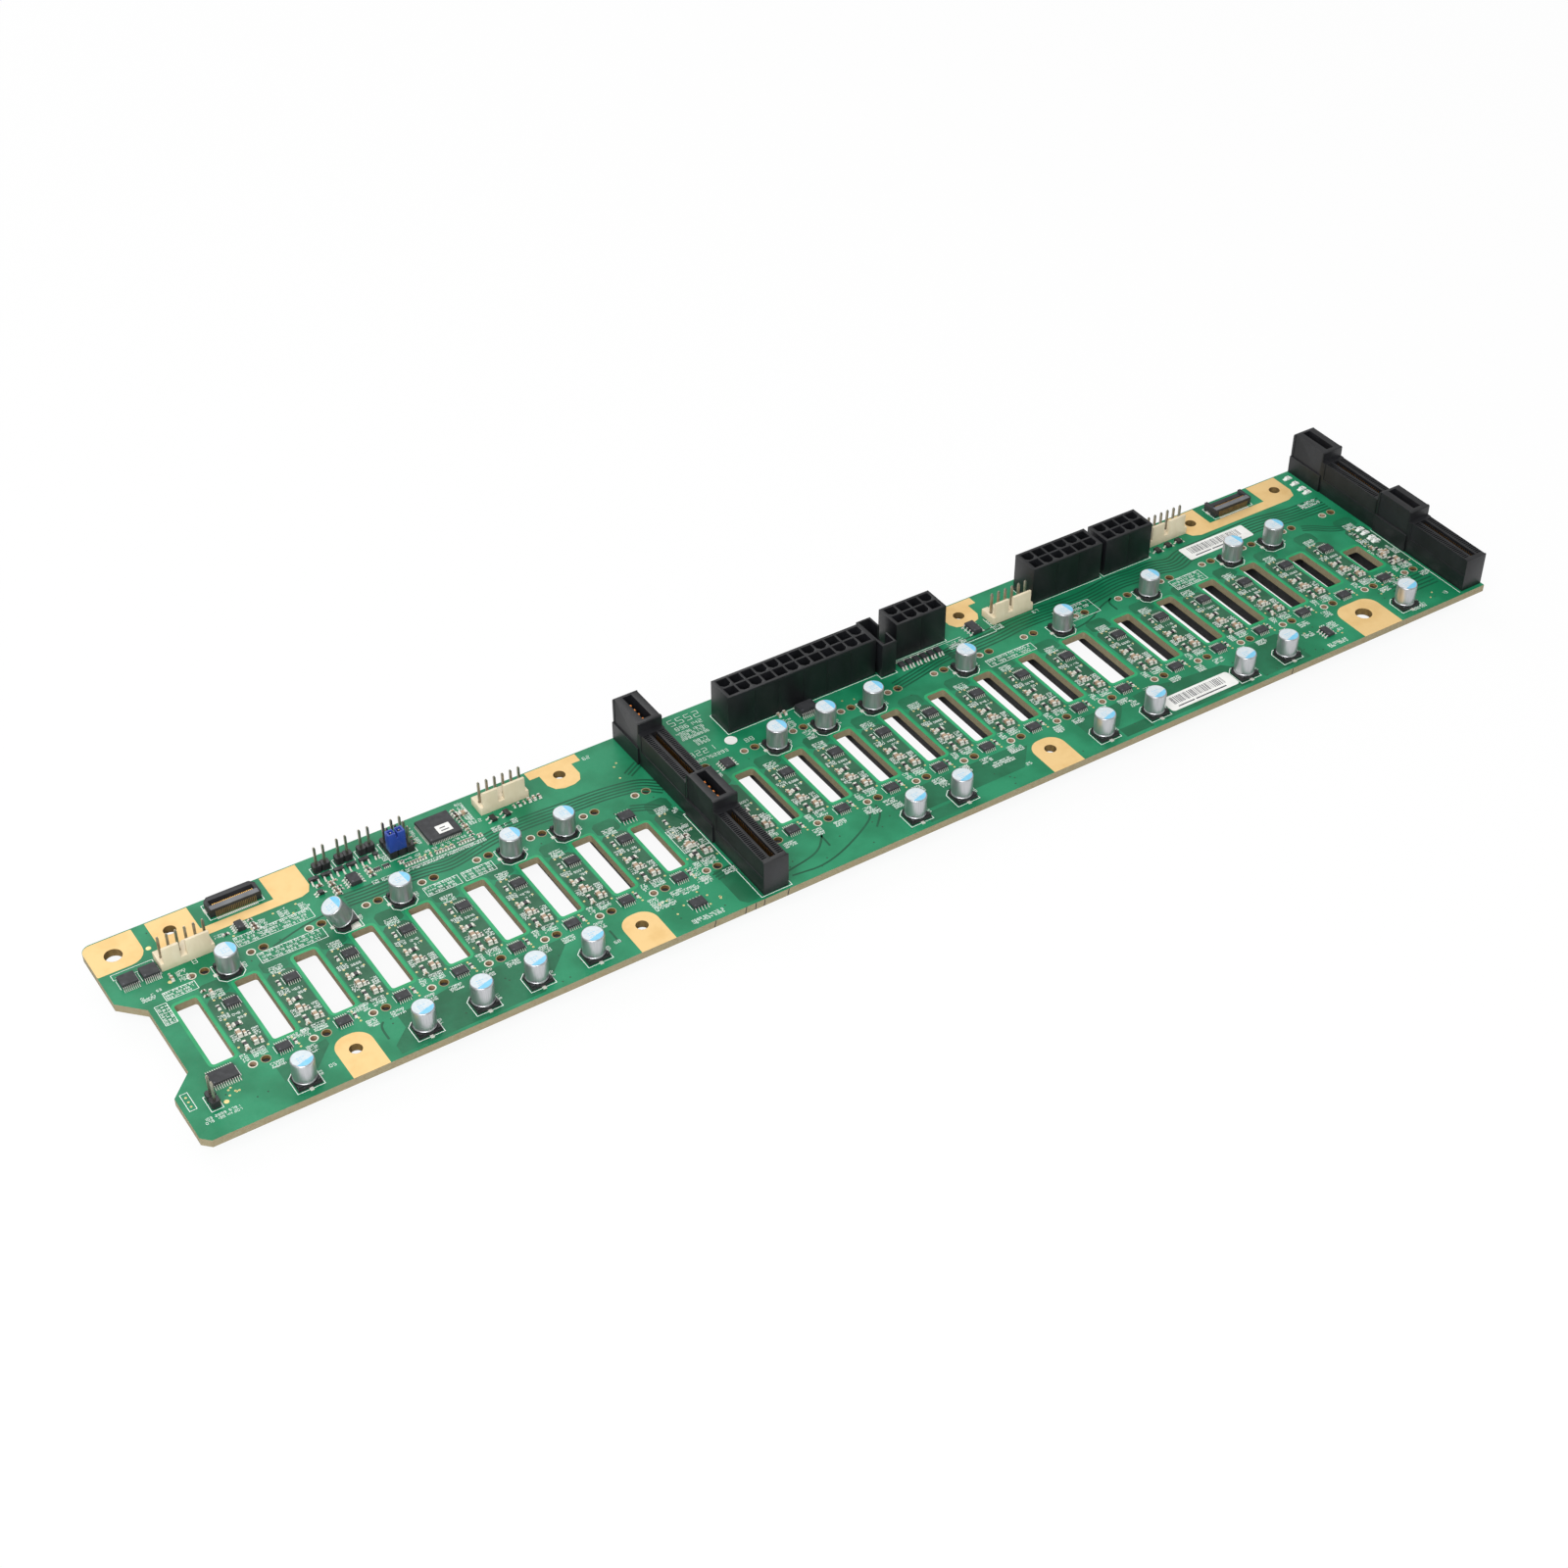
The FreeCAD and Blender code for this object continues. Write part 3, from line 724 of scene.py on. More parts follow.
def ribbon(shape, points, width, level):
    """A flat strip along a line."""
    first, count = len(shape.corners), len(points)
    for half in (width / 2, -width / 2):
        shape.corners += ring(pushed(points, half), level)
    for index in range(first, first + count - 1):
        shape.add_face((index, index + count, index + count + 1, index + 1))


def softened(points, times=3):
    """Cut the bends of a line, so that they run round."""
    for _ in range(times):
        cut_line = [points[0]]
        for a, b in zip(points, points[1:]):
            cut_line += [tuple(p * (1 - share) + q * share for p, q in zip(a, b)) for share in (0.25, 0.75)]
        points = cut_line + [points[-1]]
    return points


# A line down the middle of each bundle, the number of its tracks and their pitch
bundles = [
    ([(61, -13.9), (69, -14.4), (78, -14.0), (85, -14.4), (91, -15.7), (96, -14.9), (101, -13.6), (107, -12.4),
      (114, -11.9), (122, -12.2), (131, -12.8), (140, -13.0), (148, -14.2), (153, -15.5), (158, -20.0)], 5, 1.25),
    ([(262, -14.2), (266, -13.7), (270, -13.1), (280, -12.9), (289, -11.7), (300, -11.9), (311, -13.1),
      (320, -12.4), (328, -11.0), (336, -12.0), (343, -11.5), (350, -14.1), (356, -11.2), (366, -11.4),
      (378, -10.7), (388, -10.8), (398, -12.8), (405, -13.1), (413, -13.4)], 6, 1.35),
    ([(240, -17.5), (250, -15.6), (258, -13.8), (264, -13.4)], 4, 1.25), ([(150, -60.4), (156.5, -59.4)], 3, 1.2),
    ([(152, -9.6), (157, -6.8)], 3, 1.2), ([(398, -61.6), (413.5, -61.8)], 6, 1.6),
    ([(397, -20.6), (401, -22.6), (405, -26.5), (412, -28.5)], 3, 1.2),
    ([(145, -22.8), (150, -25.0), (154, -29.5), (156, -34)], 3, 1.2),
]
lone_tracks = (
    [(297, -24.2), (309, -23.2), (316, -18.8), (322, -17.2)], [(319.6, -23), (319.4, -18.6), (321.5, -17.0)],
    [(37, -19.8), (47, -16.8), (54, -16)], [(168, -69), (177, -67.6), (181, -65.5), (184.5, -61)],
    [(168, -71.2), (180, -72.8), (199.5, -63.8), (201, -59.5)], [(183.6, -66.5), (183.8, -61.5)],
    [(199, -67), (203.5, -62.5), (204, -59)], [(47.5, -67.5), (47.6, -62.5), (49, -61)], [(115, -68), (115, -63)],
)
tracks = Shape()
track_width = 0.62
for line, count, pitch in bundles + [(line, 1, 0) for line in lone_tracks]:
    for index in range(count):
        shift = (index - (count - 1) / 2) * pitch
        ribbon(tracks, pushed(softened(line), shift), track_width, track_level)
piece("tracks", tracks, "track_green")

# %% [markdown]
# ### Gold pads
# Bare gold surrounds every screw, where the chassis has to touch ground. Each pad is a sheet a few
# hundredths thick, cut with the screw hole in it. The three-sided pad frames the left signal connector.

# %% Gold pads round the screw holes
pad_far = board_high.y - 0.35
gold_outlines = {
    "corner": rounded(board_low.x + 0.02, -6.1, 7.7, pad_far, (0.4, 5.0, 0.3, 2.8)),
    "left": [(11.5, -6.1), (51.8, -6.1), (54.2, -5.2), (55.5, -2.6), (55.5, pad_far), (44.8, pad_far),
             (44.8, -2.8), (23.6, -2.8), (23.6, pad_far), (11.5, pad_far)],
    "middle": [(130.3, -1.4), (131.6, -3.9), (134.0, -4.9), (137.2, -4.9), (139.6, -3.9), (140.8, -1.4),
               (140.8, 3.5), (143.7, 3.5), (143.7, pad_far), (127.2, pad_far), (127.2, 3.5), (130.3, 3.5)],
    "centre": [(271.1, -1.2), (272.4, -3.4), (274.6, -4.2), (278.4, -4.2), (280.6, -3.4), (281.9, -1.2),
               (281.9, 3.8), (284.7, 3.8), (284.7, pad_far), (258.0, pad_far), (258.0, 3.8), (271.1, 3.8)],
    "right": [(363.5, -1.6), (364.8, -4.6), (367.6, -5.8), (404.6, -5.8), (407.6, -4.6), (408.9, -1.6),
              (408.9, pad_far), (397.0, pad_far), (397.0, -2.1), (374.3, -2.1), (374.3, pad_far),
              (363.5, pad_far)],
}
for number, (left, right, far) in enumerate(((33.9, 44.3, -60.2), (118.1, 128.7, -60.9), (255.3, 266.2, -61.0),
                                             (374.5, 389.8, -59.6)), 1):
    gold_outlines["near_%d" % number] = rounded(left, board_low.y, right, far, (0, 0, 4.6, 4.6), 8)
for name, points in gold_outlines.items():
    inside = [circle(*hole, 48) for hole in screw_holes if overlap(spot(*hole[:2], 0), extent(points))]
    pad_mesh = sheet("gold_pad_" + name, [points] + inside, top - 0.01, pad_level)
    put("gold_pad_" + name, dress(pad_mesh, "gold_pad"))
print("gold pads:", len(gold_outlines))

# %% [markdown]
# Every screw hole is plated: a thin tube lines it, painted a dull brown instead of gold. That brown is painted shade
# for the dim inside of the hole.
# Each peg hole shows a ring of bare laminate, and its lining takes the same painted brown shade. Each hold-down hole
# shows a pale metal ring with solder inside.
# That solder is drawn in tan with a brown cone, darker than solder, as painted shade deep in the hole. The linings
# run down to the board's underside.

# %% Linings and rings of the holes
rings = Shape()
# Screw and peg hole linings take a dull brown: painted shade for the dim inside of each hole
for x, y, radius in screw_holes:
    rings.lining(circle(x, y, radius - 0.03, 48), top + 0.03, board_low.z, 3)
for x, y, radius in peg_holes:
    rings.collar(circle(x, y, radius + 0.12, 28), circle(x, y, radius - 0.12, 28), pad_level)
    rings.lining(circle(x, y, radius - 0.1, 28), top + 0.02, board_low.z, 3)
# Solder in the hold-down holes is drawn in tan with a brown cone, darker than solder, as painted shade
for x, y in ring_places:
    rings.collar(circle(x, y, ring_radius, 20), circle(x, y, ring_hole_radius, 20), pad_level, 1)
    rings.lining(circle(x, y, ring_hole_radius - 0.01, 20), pad_level, top - 1.0, 4)
    rings.turned([(ring_hole_radius, -0.02), (ring_hole_radius, top - 1.3), (0.3, top - 0.95)], x, y, 20, 2)
piece("hole_rings", rings, "laminate_edge ring_metal brown_ceramic hole_brown tan_ceramic")

# %% [markdown]
# ## Small parts
# Hundreds of tiny parts give a board its texture. Each one is a body between two tinned ends on two pads.
# A note of what ground is taken keeps the parts that are sprinkled later off the ones placed here.

# %% Ground that is taken
taken = [grown(slot, 0.9) for slot in slots]
taken += [grown(spot(*hole), 1) for hole in holes] + [spot(x, y, 1.4) for x, y in ring_places]
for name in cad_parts:
    if name != "board" and name not in receptacle_names:
        taken += [ground(low, high, 0.5) for low, high in boxes_of(name)]
taken += [extent(points) for name, points in gold_outlines.items() if name != "left"]


def is_free(box):
    """True where nothing stands yet."""
    return not any(overlap(box, other) for other in taken)


print("places taken:", len(taken))

# %% [markdown]
# A passive part comes in a few standard sizes: length, width and height. Tan and brown bodies are ceramic
# capacitors, black ones are resistors. The tinned ends stand a hair proud of the body.

# %% Passive parts
passive_kinds = {
    "large_tan": (2.3, 1.25, 1.1, 0), "small_tan": (1.6, 0.8, 0.8, 0), "tiny_tan": (1.0, 0.5, 0.5, 0),
    "small_brown": (1.6, 0.8, 0.7, 1), "tiny_brown": (1.0, 0.5, 0.5, 1),
    "large_dark": (2.4, 1.0, 0.55, 2), "small_dark": (1.6, 0.8, 0.45, 2), "tiny_dark": (1.0, 0.5, 0.35, 2),
    "network": (2.2, 1.3, 0.5, 2),
}
end_share, pad_reach, fillet_reach, pad_margin = 0.26, 0.3, 0.26, 0.08
passives = Shape()


def passive(x, y, kind, turned=False):
    """Put one passive part on its pads; turned ones run along Y."""
    length, width, height, finish = passive_kinds[kind]
    half_x, half_y = length / 2, width / 2
    inner = half_x - length * end_share
    part = Shape()
    for side in (-1, 1):
        part.block((side * half_x, -half_y, pad_level), (side * inner, half_y, top + height), 3, 0.05)
        part.block((side * (half_x + pad_reach), -half_y - pad_margin, top),
                   (side * inner, half_y + pad_margin, pad_level + 0.01), 3)
        part.loft([ring(rectangle(side * reach, -half_y, side * inner, half_y), level)
                   for reach, level in ((half_x + fillet_reach, pad_level), (half_x, top + height * 0.55))], 3)
    part.block((-inner, 0.03 - half_y, pad_level), (inner, half_y - 0.03, top + height - 0.03), finish, 0.04)
    turn = Matrix.Rotation(radians(90), 4, "Z") if turned else Matrix.Identity(4)
    passives.placed(part, Matrix.Translation((x, y, 0)) @ turn)


bay_passives = (
    (-2.4, -14.7, "small_dark", True), (-3.0, -22.7, "small_tan", True), (-0.8, -22.7, "network", False),
    (-1.9, -26.4, "large_tan", True), (-0.5, -26.8, "small_tan", True), (0.5, -27.1, "tiny_dark", True),
    (-2.0, -30.6, "large_dark", True), (-2.1, -32.6, "tiny_tan", False), (0.6, -30.8, "large_tan", True),
    (2.1, -31.3, "small_tan", True), (9.2, -36.4, "small_dark", True),
)
for bay_x in bays:
    added = []
    for step_x, step_y, kind, turned in bay_passives:
        x, y = bay_x + step_x, far_peg_y + step_y
        if is_free(spot(x, y, 0.3)) and x < board_high.x - 14:
            passive(x, y, kind, turned)
            added.append(spot(x, y, 0.9, 1.2))
    taken += added
print("faces of the bays' passive parts:", len(passives.faces))

# %% [markdown]
# The busy ground round the controller and the chips carries more such parts, in straight rows. A row is
# given by its two ends and a pitch, and a seeded random choice fills it, leaving out what would stand on
# something else.

# %% Rows of small parts
# Start of the row, its end, its pitch, and whether its parts run along Y
part_rows = (
    (81.0, -9.9, 104.5, -9.9, 0.85, True), (102.3, 3.5, 102.3, -8.5, 1.25, False),
    (87.4, -0.4, 87.4, -7.4, 1.2, False), (60.6, -5.0, 60.6, -10.6, 1.3, False),
    (62.0, -5.0, 62.0, -10.6, 1.3, False), (71.6, -4.6, 71.6, -10.2, 1.3, False),
    (80.2, -8.0, 81.9, -8.0, 0.85, True), (118.0, -4.2, 126.0, -4.2, 1.6, True),
    (57.5, -4.8, 60.0, -4.8, 2.2, False), (36.0, -7.0, 36.0, -11.0, 1.25, False),
    (47.2, -6.8, 47.2, -9.2, 1.2, False), (9.6, -13.6, 9.6, -18.5, 1.3, True),
    (14.6, -25.5, 14.6, -27.6, 1.1, False),
)
tiny_kinds = ("tiny_tan", "tiny_dark", "tiny_brown")
row_kinds = ("small_tan", "small_dark", "tiny_tan", "tiny_dark", "tiny_brown", "small_dark", "small_brown")
filled_share = 0.88
placed_count = 0
for start_x, start_y, end_x, end_y, pitch, turned in part_rows:
    count = int(max(abs(end_x - start_x), abs(end_y - start_y)) / pitch) + 1
    for index in range(count):
        share = index / max(1, count - 1)
        x, y = start_x + (end_x - start_x) * share, start_y + (end_y - start_y) * share
        kind = random.choice(row_kinds if pitch > 1 else tiny_kinds)
        length, width = passive_kinds[kind][:2]
        body = spot(x, y, *((width / 2, length / 2) if turned else (length / 2, width / 2)))
        if random.random() < filled_share and is_free(body):
            passive(x, y, kind, turned)
            taken.append(grown(body, 0.05))
            placed_count += 1
lone_parts = (
    (104.3, 0.8, "large_tan", False), (16.2, -27.0, "small_tan", True), (28.3, -8.8, "small_dark", False),
    (149.8, -45.2, "small_tan", True), (151.2, -45.4, "small_tan", True), (152.0, -41.5, "small_brown", True),
    (150.0, -49.2, "network", False), (153.2, -49.0, "large_tan", True), (171.5, -42.5, "small_dark", True),
    (171.0, -45.0, "small_dark", False), (172.7, -45.6, "small_brown", True), (173.3, -49.5, "small_tan", True),
    (174.8, -50.0, "small_dark", True), (203.0, -10.3, "small_tan", True), (205.0, -10.3, "small_tan", True),
    (409.5, -42.5, "small_dark", True), (411.0, -45.0, "small_tan", True), (408.5, -46.0, "large_tan", True),
    (410.5, -50.0, "large_tan", True), (408.0, -50.5, "small_dark", True), (411.8, -52.0, "small_dark", True),
)
for x, y, kind, turned in lone_parts:
    passive(x, y, kind, turned)
    taken.append(spot(x, y, 1.2))
piece("passive_parts", passives, "tan_ceramic brown_ceramic resistor_black solder")
print("parts in rows:", placed_count)

# %% [markdown]
# ### Chips
# A chip is a moulded body whose sides slope in to a parting line, with a dot at its first lead. Its leads
# leave at half height, bend down and end flat on a pad. One side view, repeated at a pitch, makes them all.

# %% Chips and their leads
lead_view = ((0.0, 0.46), (0.2, 0.46), (0.42, 0.0), (1.0, 0.0), (1.0, 0.16), (0.52, 0.16), (0.3, 0.62),
             (0.0, 0.62))
# Where a foot's middle lies, half the length and width of its pad, and the gap below the foot
foot_share, pad_half_length, pad_half_width, foot_gap = 0.8, 0.42, 0.62, 0.035
pads_for_leads = Shape()


def chip_body(shape, low, high, dot=True):
    """Moulded body with sloping sides, and the mark of its first lead."""
    slope, parting = 0.12, low.z + (high.z - low.z) * 0.5
    shape.loft([ring(rectangle(*ground(low, high, reach)), level)
                for reach, level in ((-slope, low.z + 0.06), (0, parting), (-slope, high.z))])
    if dot:
        shape.plate(circle(low.x + 0.75, low.y + 0.7, 0.22, 12), high.z + 0.004, 2)


def leads(shape, start, end, count, outward, reach, height, width):
    """A row of leads from one point to another, all pointing outward."""
    view = [(distance * reach, level * height + foot_gap) for distance, level in lead_view]
    pad_half = [reach * pad_half_length if way else width * pad_half_width for way in outward]
    for index in range(count):
        share = index / (count - 1) if count > 1 else 0.5
        x, y = [a + (b - a) * share for a, b in zip(start, end)]
        shape.slab(view, (x, y, top), outward, width, 1)
        foot = spot(x + outward[0] * reach * foot_share, y + outward[1] * reach * foot_share, *pad_half)
        pads_for_leads.plate(rectangle(*foot), pad_level)


def lead_rows(shape, low, high, count, reaches, width, inset=0.45, along_x=True, height=None):
    """Leads on the near and far sides of a chip, or on its left and right."""
    for end, way, reach in zip((low, high), (-1, 1), reaches):
        if along_x:
            row = (low.x + inset, end.y), (high.x - inset, end.y), count, (0, way)
        else:
            row = (end.x, low.y + inset), (end.x, high.y - inset), count, (way, 0)
        leads(shape, *row, reach, height or high.z - low.z, width)


bay_lead_row = Vector((0, 0.75, 0))
for name in ("bay_chips_far", "bay_chips_near"):
    chips = Shape()
    for low, high in boxes_of(name):
        chip_body(chips, low, high - bay_lead_row)
        lead_rows(chips, low, high - bay_lead_row, 6, (0.62, 1.2), 0.17)
    piece(name + "_dressed", chips, "chip_black tin rim_grey", [name])

# %% [markdown]
# The loose chips differ: a narrow body with many leads, small ones with four to a side, and one that is
# turned by a quarter. The size of each solid tells which it is, so the list needs no names.

# %% Loose chips, transistors and the controller
loose = Shape()
side_margin = Vector((0.35, 0, 0))
for low, high in boxes_of("loose_chips"):
    length, width = high.x - low.x, high.y - low.y
    if length > 7 and low.y > -20:
        chip_body(loose, low, high, dot=False)
        leads(loose, (low.x + 1.0, low.y), (high.x - 1.0, low.y), 3, (0, -1), 1.9, high.z - low.z, 0.9)
        continue
    if length > 7:
        row = (12, (1.1, 1.1), 0.2, 0.35)
    elif width > length:
        low, high = low + side_margin, high - side_margin
        row = (4, (1.0, 1.0), 0.36, 0.45, False)
    else:
        row = (9 if length > 4.6 else 5, (1.05, 0.9), 0.17, 0.3)
    chip_body(loose, low, high)
    lead_rows(loose, low, high, *row)
piece("loose_chips_dressed", loose, "chip_black tin rim_grey", ["loose_chips"])

transistors = Shape()
for low, high in boxes_of("power_transistors"):
    height = high.z - low.z
    chip_body(transistors, low, high, dot=False)
    leads(transistors, (low.x + 0.4, low.y), (high.x - 0.4, low.y), 2, (0, -1), 1.1, height, 0.5)
    leads(transistors, (low.x + 0.95, high.y), (low.x + 0.95, high.y), 1, (0, 1), 1.1, height, 1.2)
piece("power_transistors_dressed", transistors, "chip_black tin", ["power_transistors"])

controller = Shape()
low, high = node_box("controller_chip")
chip_body(controller, low, high)
for along_x in (True, False):
    lead_rows(controller, low, high, 18, (0.35, 0.35), 0.18, 0.8, along_x, 1.0)
controller.block((94.3, -4.8, high.z), (98.6, -1.4, high.z + 0.08), 3)
for row in range(2):
    controller.block((95.3, -4.1 + row * 1.2, high.z + 0.08), (97.7 - row * 0.7, -3.7 + row * 1.2, high.z + 0.1), 4)
piece("controller_dressed", controller, "chip_black tin rim_grey label_paper label_ink", ["controller_chip"])

# %% [markdown]
# Small three-legged parts stand in a row below the two-pin headers, and in pairs near the fan headers.
# They carry two legs on one side and one on the other. Two small networks have four legs to a side.

# %% Three-legged parts
three_legged = Shape()
# Middle of the part, half its size along X and Y, and the way its two legs point
three_leg_places = [(57.2 + 3.77 * index, -1.9, 1.45, 0.7, (0, -1)) for index in range(5)]
three_leg_places += [(110.4, -5.9, 0.8, 1.3, (-1, 0)), (114.7, -5.9, 0.8, 1.3, (-1, 0)),
                     (349.8, -5.4, 0.9, 1.2, (1, 0)), (354.4, -4.9, 0.9, 1.1, (1, 0)),
                     (358.7, -4.9, 0.9, 1.1, (1, 0)), (75.9, -1.7, 0.75, 0.75, (0, -1)),
                     (56.6, -7.8, 0.75, 0.8, (-1, 0))]
for x, y, half_x, half_y, way in three_leg_places:
    left, near, right, far = spot(x, y, half_x, half_y)
    chip_body(three_legged, Vector((left, near, top)), Vector((right, far, top + 1.05)), dot=False)
    reach = 1.35 if half_x > 1.3 else 0.9
    step = Vector((-way[1], way[0])) * (half_y if way[0] else half_x) * 0.66
    out = Vector((way[0] * half_x, way[1] * half_y))
    middle = Vector((x, y))
    leads(three_legged, middle + out - step, middle + out + step, 2, way, reach, 1.0, 0.46)
    leads(three_legged, middle - out, middle - out, 1, (-way[0], -way[1]), 0.8, 1.0, 0.46)
    taken.append(grown((left, near, right, far), 0.9))
for x, y in ((73.8, -7.2), (76.5, -7.2)):
    low, high = Vector((x - 1.0, y - 0.5, top)), Vector((x + 1.0, y + 0.5, top + 0.5))
    chip_body(three_legged, low, high, dot=False)
    lead_rows(three_legged, low, high, 4, (0.4, 0.4), 0.24, 0.2, height=0.5)
    taken.append(spot(x, y, 1.3, 1.2))
piece("three_legged_parts", three_legged, "resistor_black solder")
piece("lead_pads", pads_for_leads, "solder")

# %% [markdown]
# ### Status lights
# Each light is a white box with a dull round window. A low white step at each end covers its contacts.

# %% Status lights
lights, light_pads = Shape(), Shape()
for low, high in boxes_of("status_lights"):
    lights.block((low.x + 0.3, low.y, top + 0.02), (high.x - 0.3, high.y, high.z), 0, 0.06)
    lights.plate(circle(*centre(low, high), 0.3, 16), high.z + 0.004, 1)
    for left, right in ((low.x - 0.5, low.x + 0.3), (high.x - 0.3, high.x + 0.5)):
        light_pads.block((left, low.y + 0.05, top), (right, high.y - 0.05, top + 0.32), 0, 0.1)
piece("status_light_solder", light_pads, "lamp_white")
piece("status_lights_dressed", lights, "lamp_white lamp_lens", ["status_lights"])

# %% [markdown]
# ## Capacitors
# A can is drawn from aluminium and crimped onto its rubber plug, which leaves a groove just above the
# black base. The top is printed with a blue segment that marks the negative side. Can and base are made
# apart, because one can has been knocked over: it leans over its base, and the base has lost a corner.

# %% A can and its base
can_radius, can_length = 3.15, 6.69
can_profile = ((2.7, 0.0), (3.0, 0.05), (can_radius, 0.2), (can_radius, 0.42), (3.03, 0.52), (2.98, 0.64),
               (3.03, 0.76), (can_radius, 0.88), (can_radius, can_length - 0.44), (3.1, can_length - 0.2),
               (2.98, can_length - 0.06), (2.84, can_length))
base_half, base_height, base_cut = 3.3, 1.0, 1.3


def can(blue_turn):
    """A can that stands at the origin, with its blue segment and three rows of small print."""
    part = Shape()
    part.turned(can_profile, 0, 0, 44)
    part.plate(circle(0, 0, 2.8, 44), can_length + 0.004, 1)
    half_angle, steps = 66, 16
    turns = [radians(blue_turn - half_angle + 2 * half_angle * index / steps) for index in range(steps + 1)]
    part.plate([(2.78 * cos(turn), 2.78 * sin(turn)) for turn in turns], can_length + 0.008, 2)
    for row in range(3):
        for column in range(3 - row % 2):
            left, near = -1.35 + column * 0.8, 0.4 - row * 0.75
            part.plate(rectangle(left, near, left + 0.5, near + 0.18), can_length + 0.01, 2)
    return part


def cap_base(side, broken):
    """A base with two cut corners, away from the given side, and a lug at each corner."""
    shape = Shape()
    half, inner = base_half, base_half - base_cut
    points = [(half, -half), (half, inner), (inner, half), (-inner, half), (-half, inner), (-half, -half)]
    lugs = [(-1, -1), (-1, 1), (1, -1), (1, 1)]
    if side < 0:
        points = [(x, -y) for x, y in points[::-1]]
    if broken:
        points = [(half, half), (-half, half), (-half, -inner), (-inner, -half), (half - 3.1, -half),
                  (half - 2.85, -half + 1.1), (half - 2.6, -half + 1.7), (half - 1.2, -half + 2.1),
                  (half, -half + 1.9)]
        lugs = [(1, 1)]
    shape.loft([ring(points, 0.0), ring(points, 0.8), [(x * 0.97, y * 0.97, base_height) for x, y in points]])
    for x_side, y_side in lugs:
        reach = 3.12 if y_side == -side else 2.55
        lug = [(x_side * reach, y_side * 1.9), (x_side * reach, y_side * reach), (x_side * 1.9, y_side * reach)]
        shape.prism(lug if x_side * y_side > 0 else lug[::-1], base_height - 0.2, 1.55)
    return shape


print("points on a can's side view:", len(can_profile))

# %% [markdown]
# The corners of each packed can tell how it stands. A line from the mean of its lower half to the mean of
# its upper half is its axis, and the corner that lies lowest along the axis gives its foot. Solder tabs
# stick out under each base, and two bent wires hold the can that leans.

# %% Stand the capacitors in place
cans, bases, cap_trim = Shape(), Shape(), Shape()
can_solids = solids_of("capacitor_cans")
cap_places = []
for low, high in boxes_of("capacitor_bases"):
    x, y = centre(low, high)
    stand = Vector((x, y, top))
    corners = sorted(min(can_solids, key=lambda solid: (mean(solid) - stand).length), key=lambda corner: corner.z)
    half_count = len(corners) // 2
    upper, lower = mean(corners[-half_count:]), mean(corners[:half_count])
    axis = (upper - lower).normalized()
    foot = lower + axis * min((corner - lower).dot(axis) for corner in corners)
    leaning, far_row = axis.z < 0.99, y > -45
    tilt = Vector((0, 0, 1)).rotation_difference(axis).to_matrix().to_4x4()
    cans.placed(can(5 if far_row else -75), Matrix.Translation(foot) @ tilt)
    bases.placed(cap_base(-1 if far_row else 1, leaning), Matrix.Translation(stand))
    way = Vector((-1, 0)) if far_row else Vector((0, -1))
    side_step = way.yx * 0.5
    for near_end, far_end in ((3.34, 4.4), (-3.34, -3.9)):
        inner, outer = stand.xy + way * near_end - side_step, stand.xy + way * far_end + side_step
        cap_trim.block((*inner, top), (*outer, top + 0.3), 0, 0.08)
    if leaning:
        cap_trim.plate([(57.19, -25.39), (60.35, -25.34), (60.27, -23.01), (57.36, -23.79)], pad_level)
        for side in (-1, 1):
            wire_foot = Vector((x + 0.5, y + side * 1.2 - 0.2, top + base_height - 0.1))
            wire_head = foot + Vector((0.7, side * 1.2, 0.45))
            knee = wire_foot.lerp(wire_head, 0.5) + Vector((0.25, 0, 0))
            cap_trim.loft([ring(circle(*point.xy, 0.26, 10), point.z) for point in (wire_foot, knee, wire_head)])
    cap_places.append((x, y, far_row, leaning))
piece("capacitor_cans_dressed", cans, "can_aluminium can_white can_blue", ["capacitor_cans"])
piece("capacitor_bases_dressed", bases, "base_black", ["capacitor_bases"])
piece("capacitor_tabs", cap_trim, "solder")

# %% [markdown]
# ## Card-edge connectors
# The longest mouldings on the board. The near part is a low bar with a contact slot, and a comb of narrow
# notches runs along both sides of its top, one for each contact. The far part is a taller block with a bay
# of power blades. The side view is pushed out to the full width, and the slots are cut from that block.

# %% Card-edge connector housing
card_half, card_length, tall_length = 4.0, 40.4, 14.6
low_height, tall_height = 11.3, 14.7
first_contact, contact_pitch, contact_count = -38.3, 0.8, 28
contact_steps = [first_contact + index * contact_pitch for index in range(contact_count)]
side_view = [(-card_length, 0), (0, 0), (0, tall_height - 0.9), (-0.3, tall_height - 0.3), (-0.9, tall_height),
             (-tall_length + 0.25, tall_height), (-tall_length, tall_height - 0.25), (-tall_length, low_height),
             (-card_length, low_height)]
solid, cutter = Shape(), Shape()
solid.slab(side_view[::-1], (0, 0, 0), (0, 1), 2 * card_half)
cutter.block((-0.95, -38.7, 3.3), (0.95, -16.3, low_height + 1))
cutter.block((-1.45, -13.0, 3.7), (1.45, -1.6, tall_height + 1))
for side in (-1, 1):
    for near, far, level in ((-39.9, -tall_length - 1.3, 5.6), (-tall_length + 0.9, -0.9, 6.2)):
        cutter.block((side * (card_half + 0.5), near, level), (side * (card_half - 0.22), far, tall_height + 1))
    for y in contact_steps:
        cutter.block((side * (card_half - 0.55), y - 0.2, low_height - 1.1), (side * 1.75, y + 0.2, low_height + 1))
card_mesh = dress(carved("card_connector_housing", solid, cutter, 0.07), "card_black")
print("housing faces:", len(card_mesh.polygons))

# %% [markdown]
# The housing is made once and set down four times. Contacts are added in the same local places: springs
# of gold on both walls of the slot, one beside each notch.

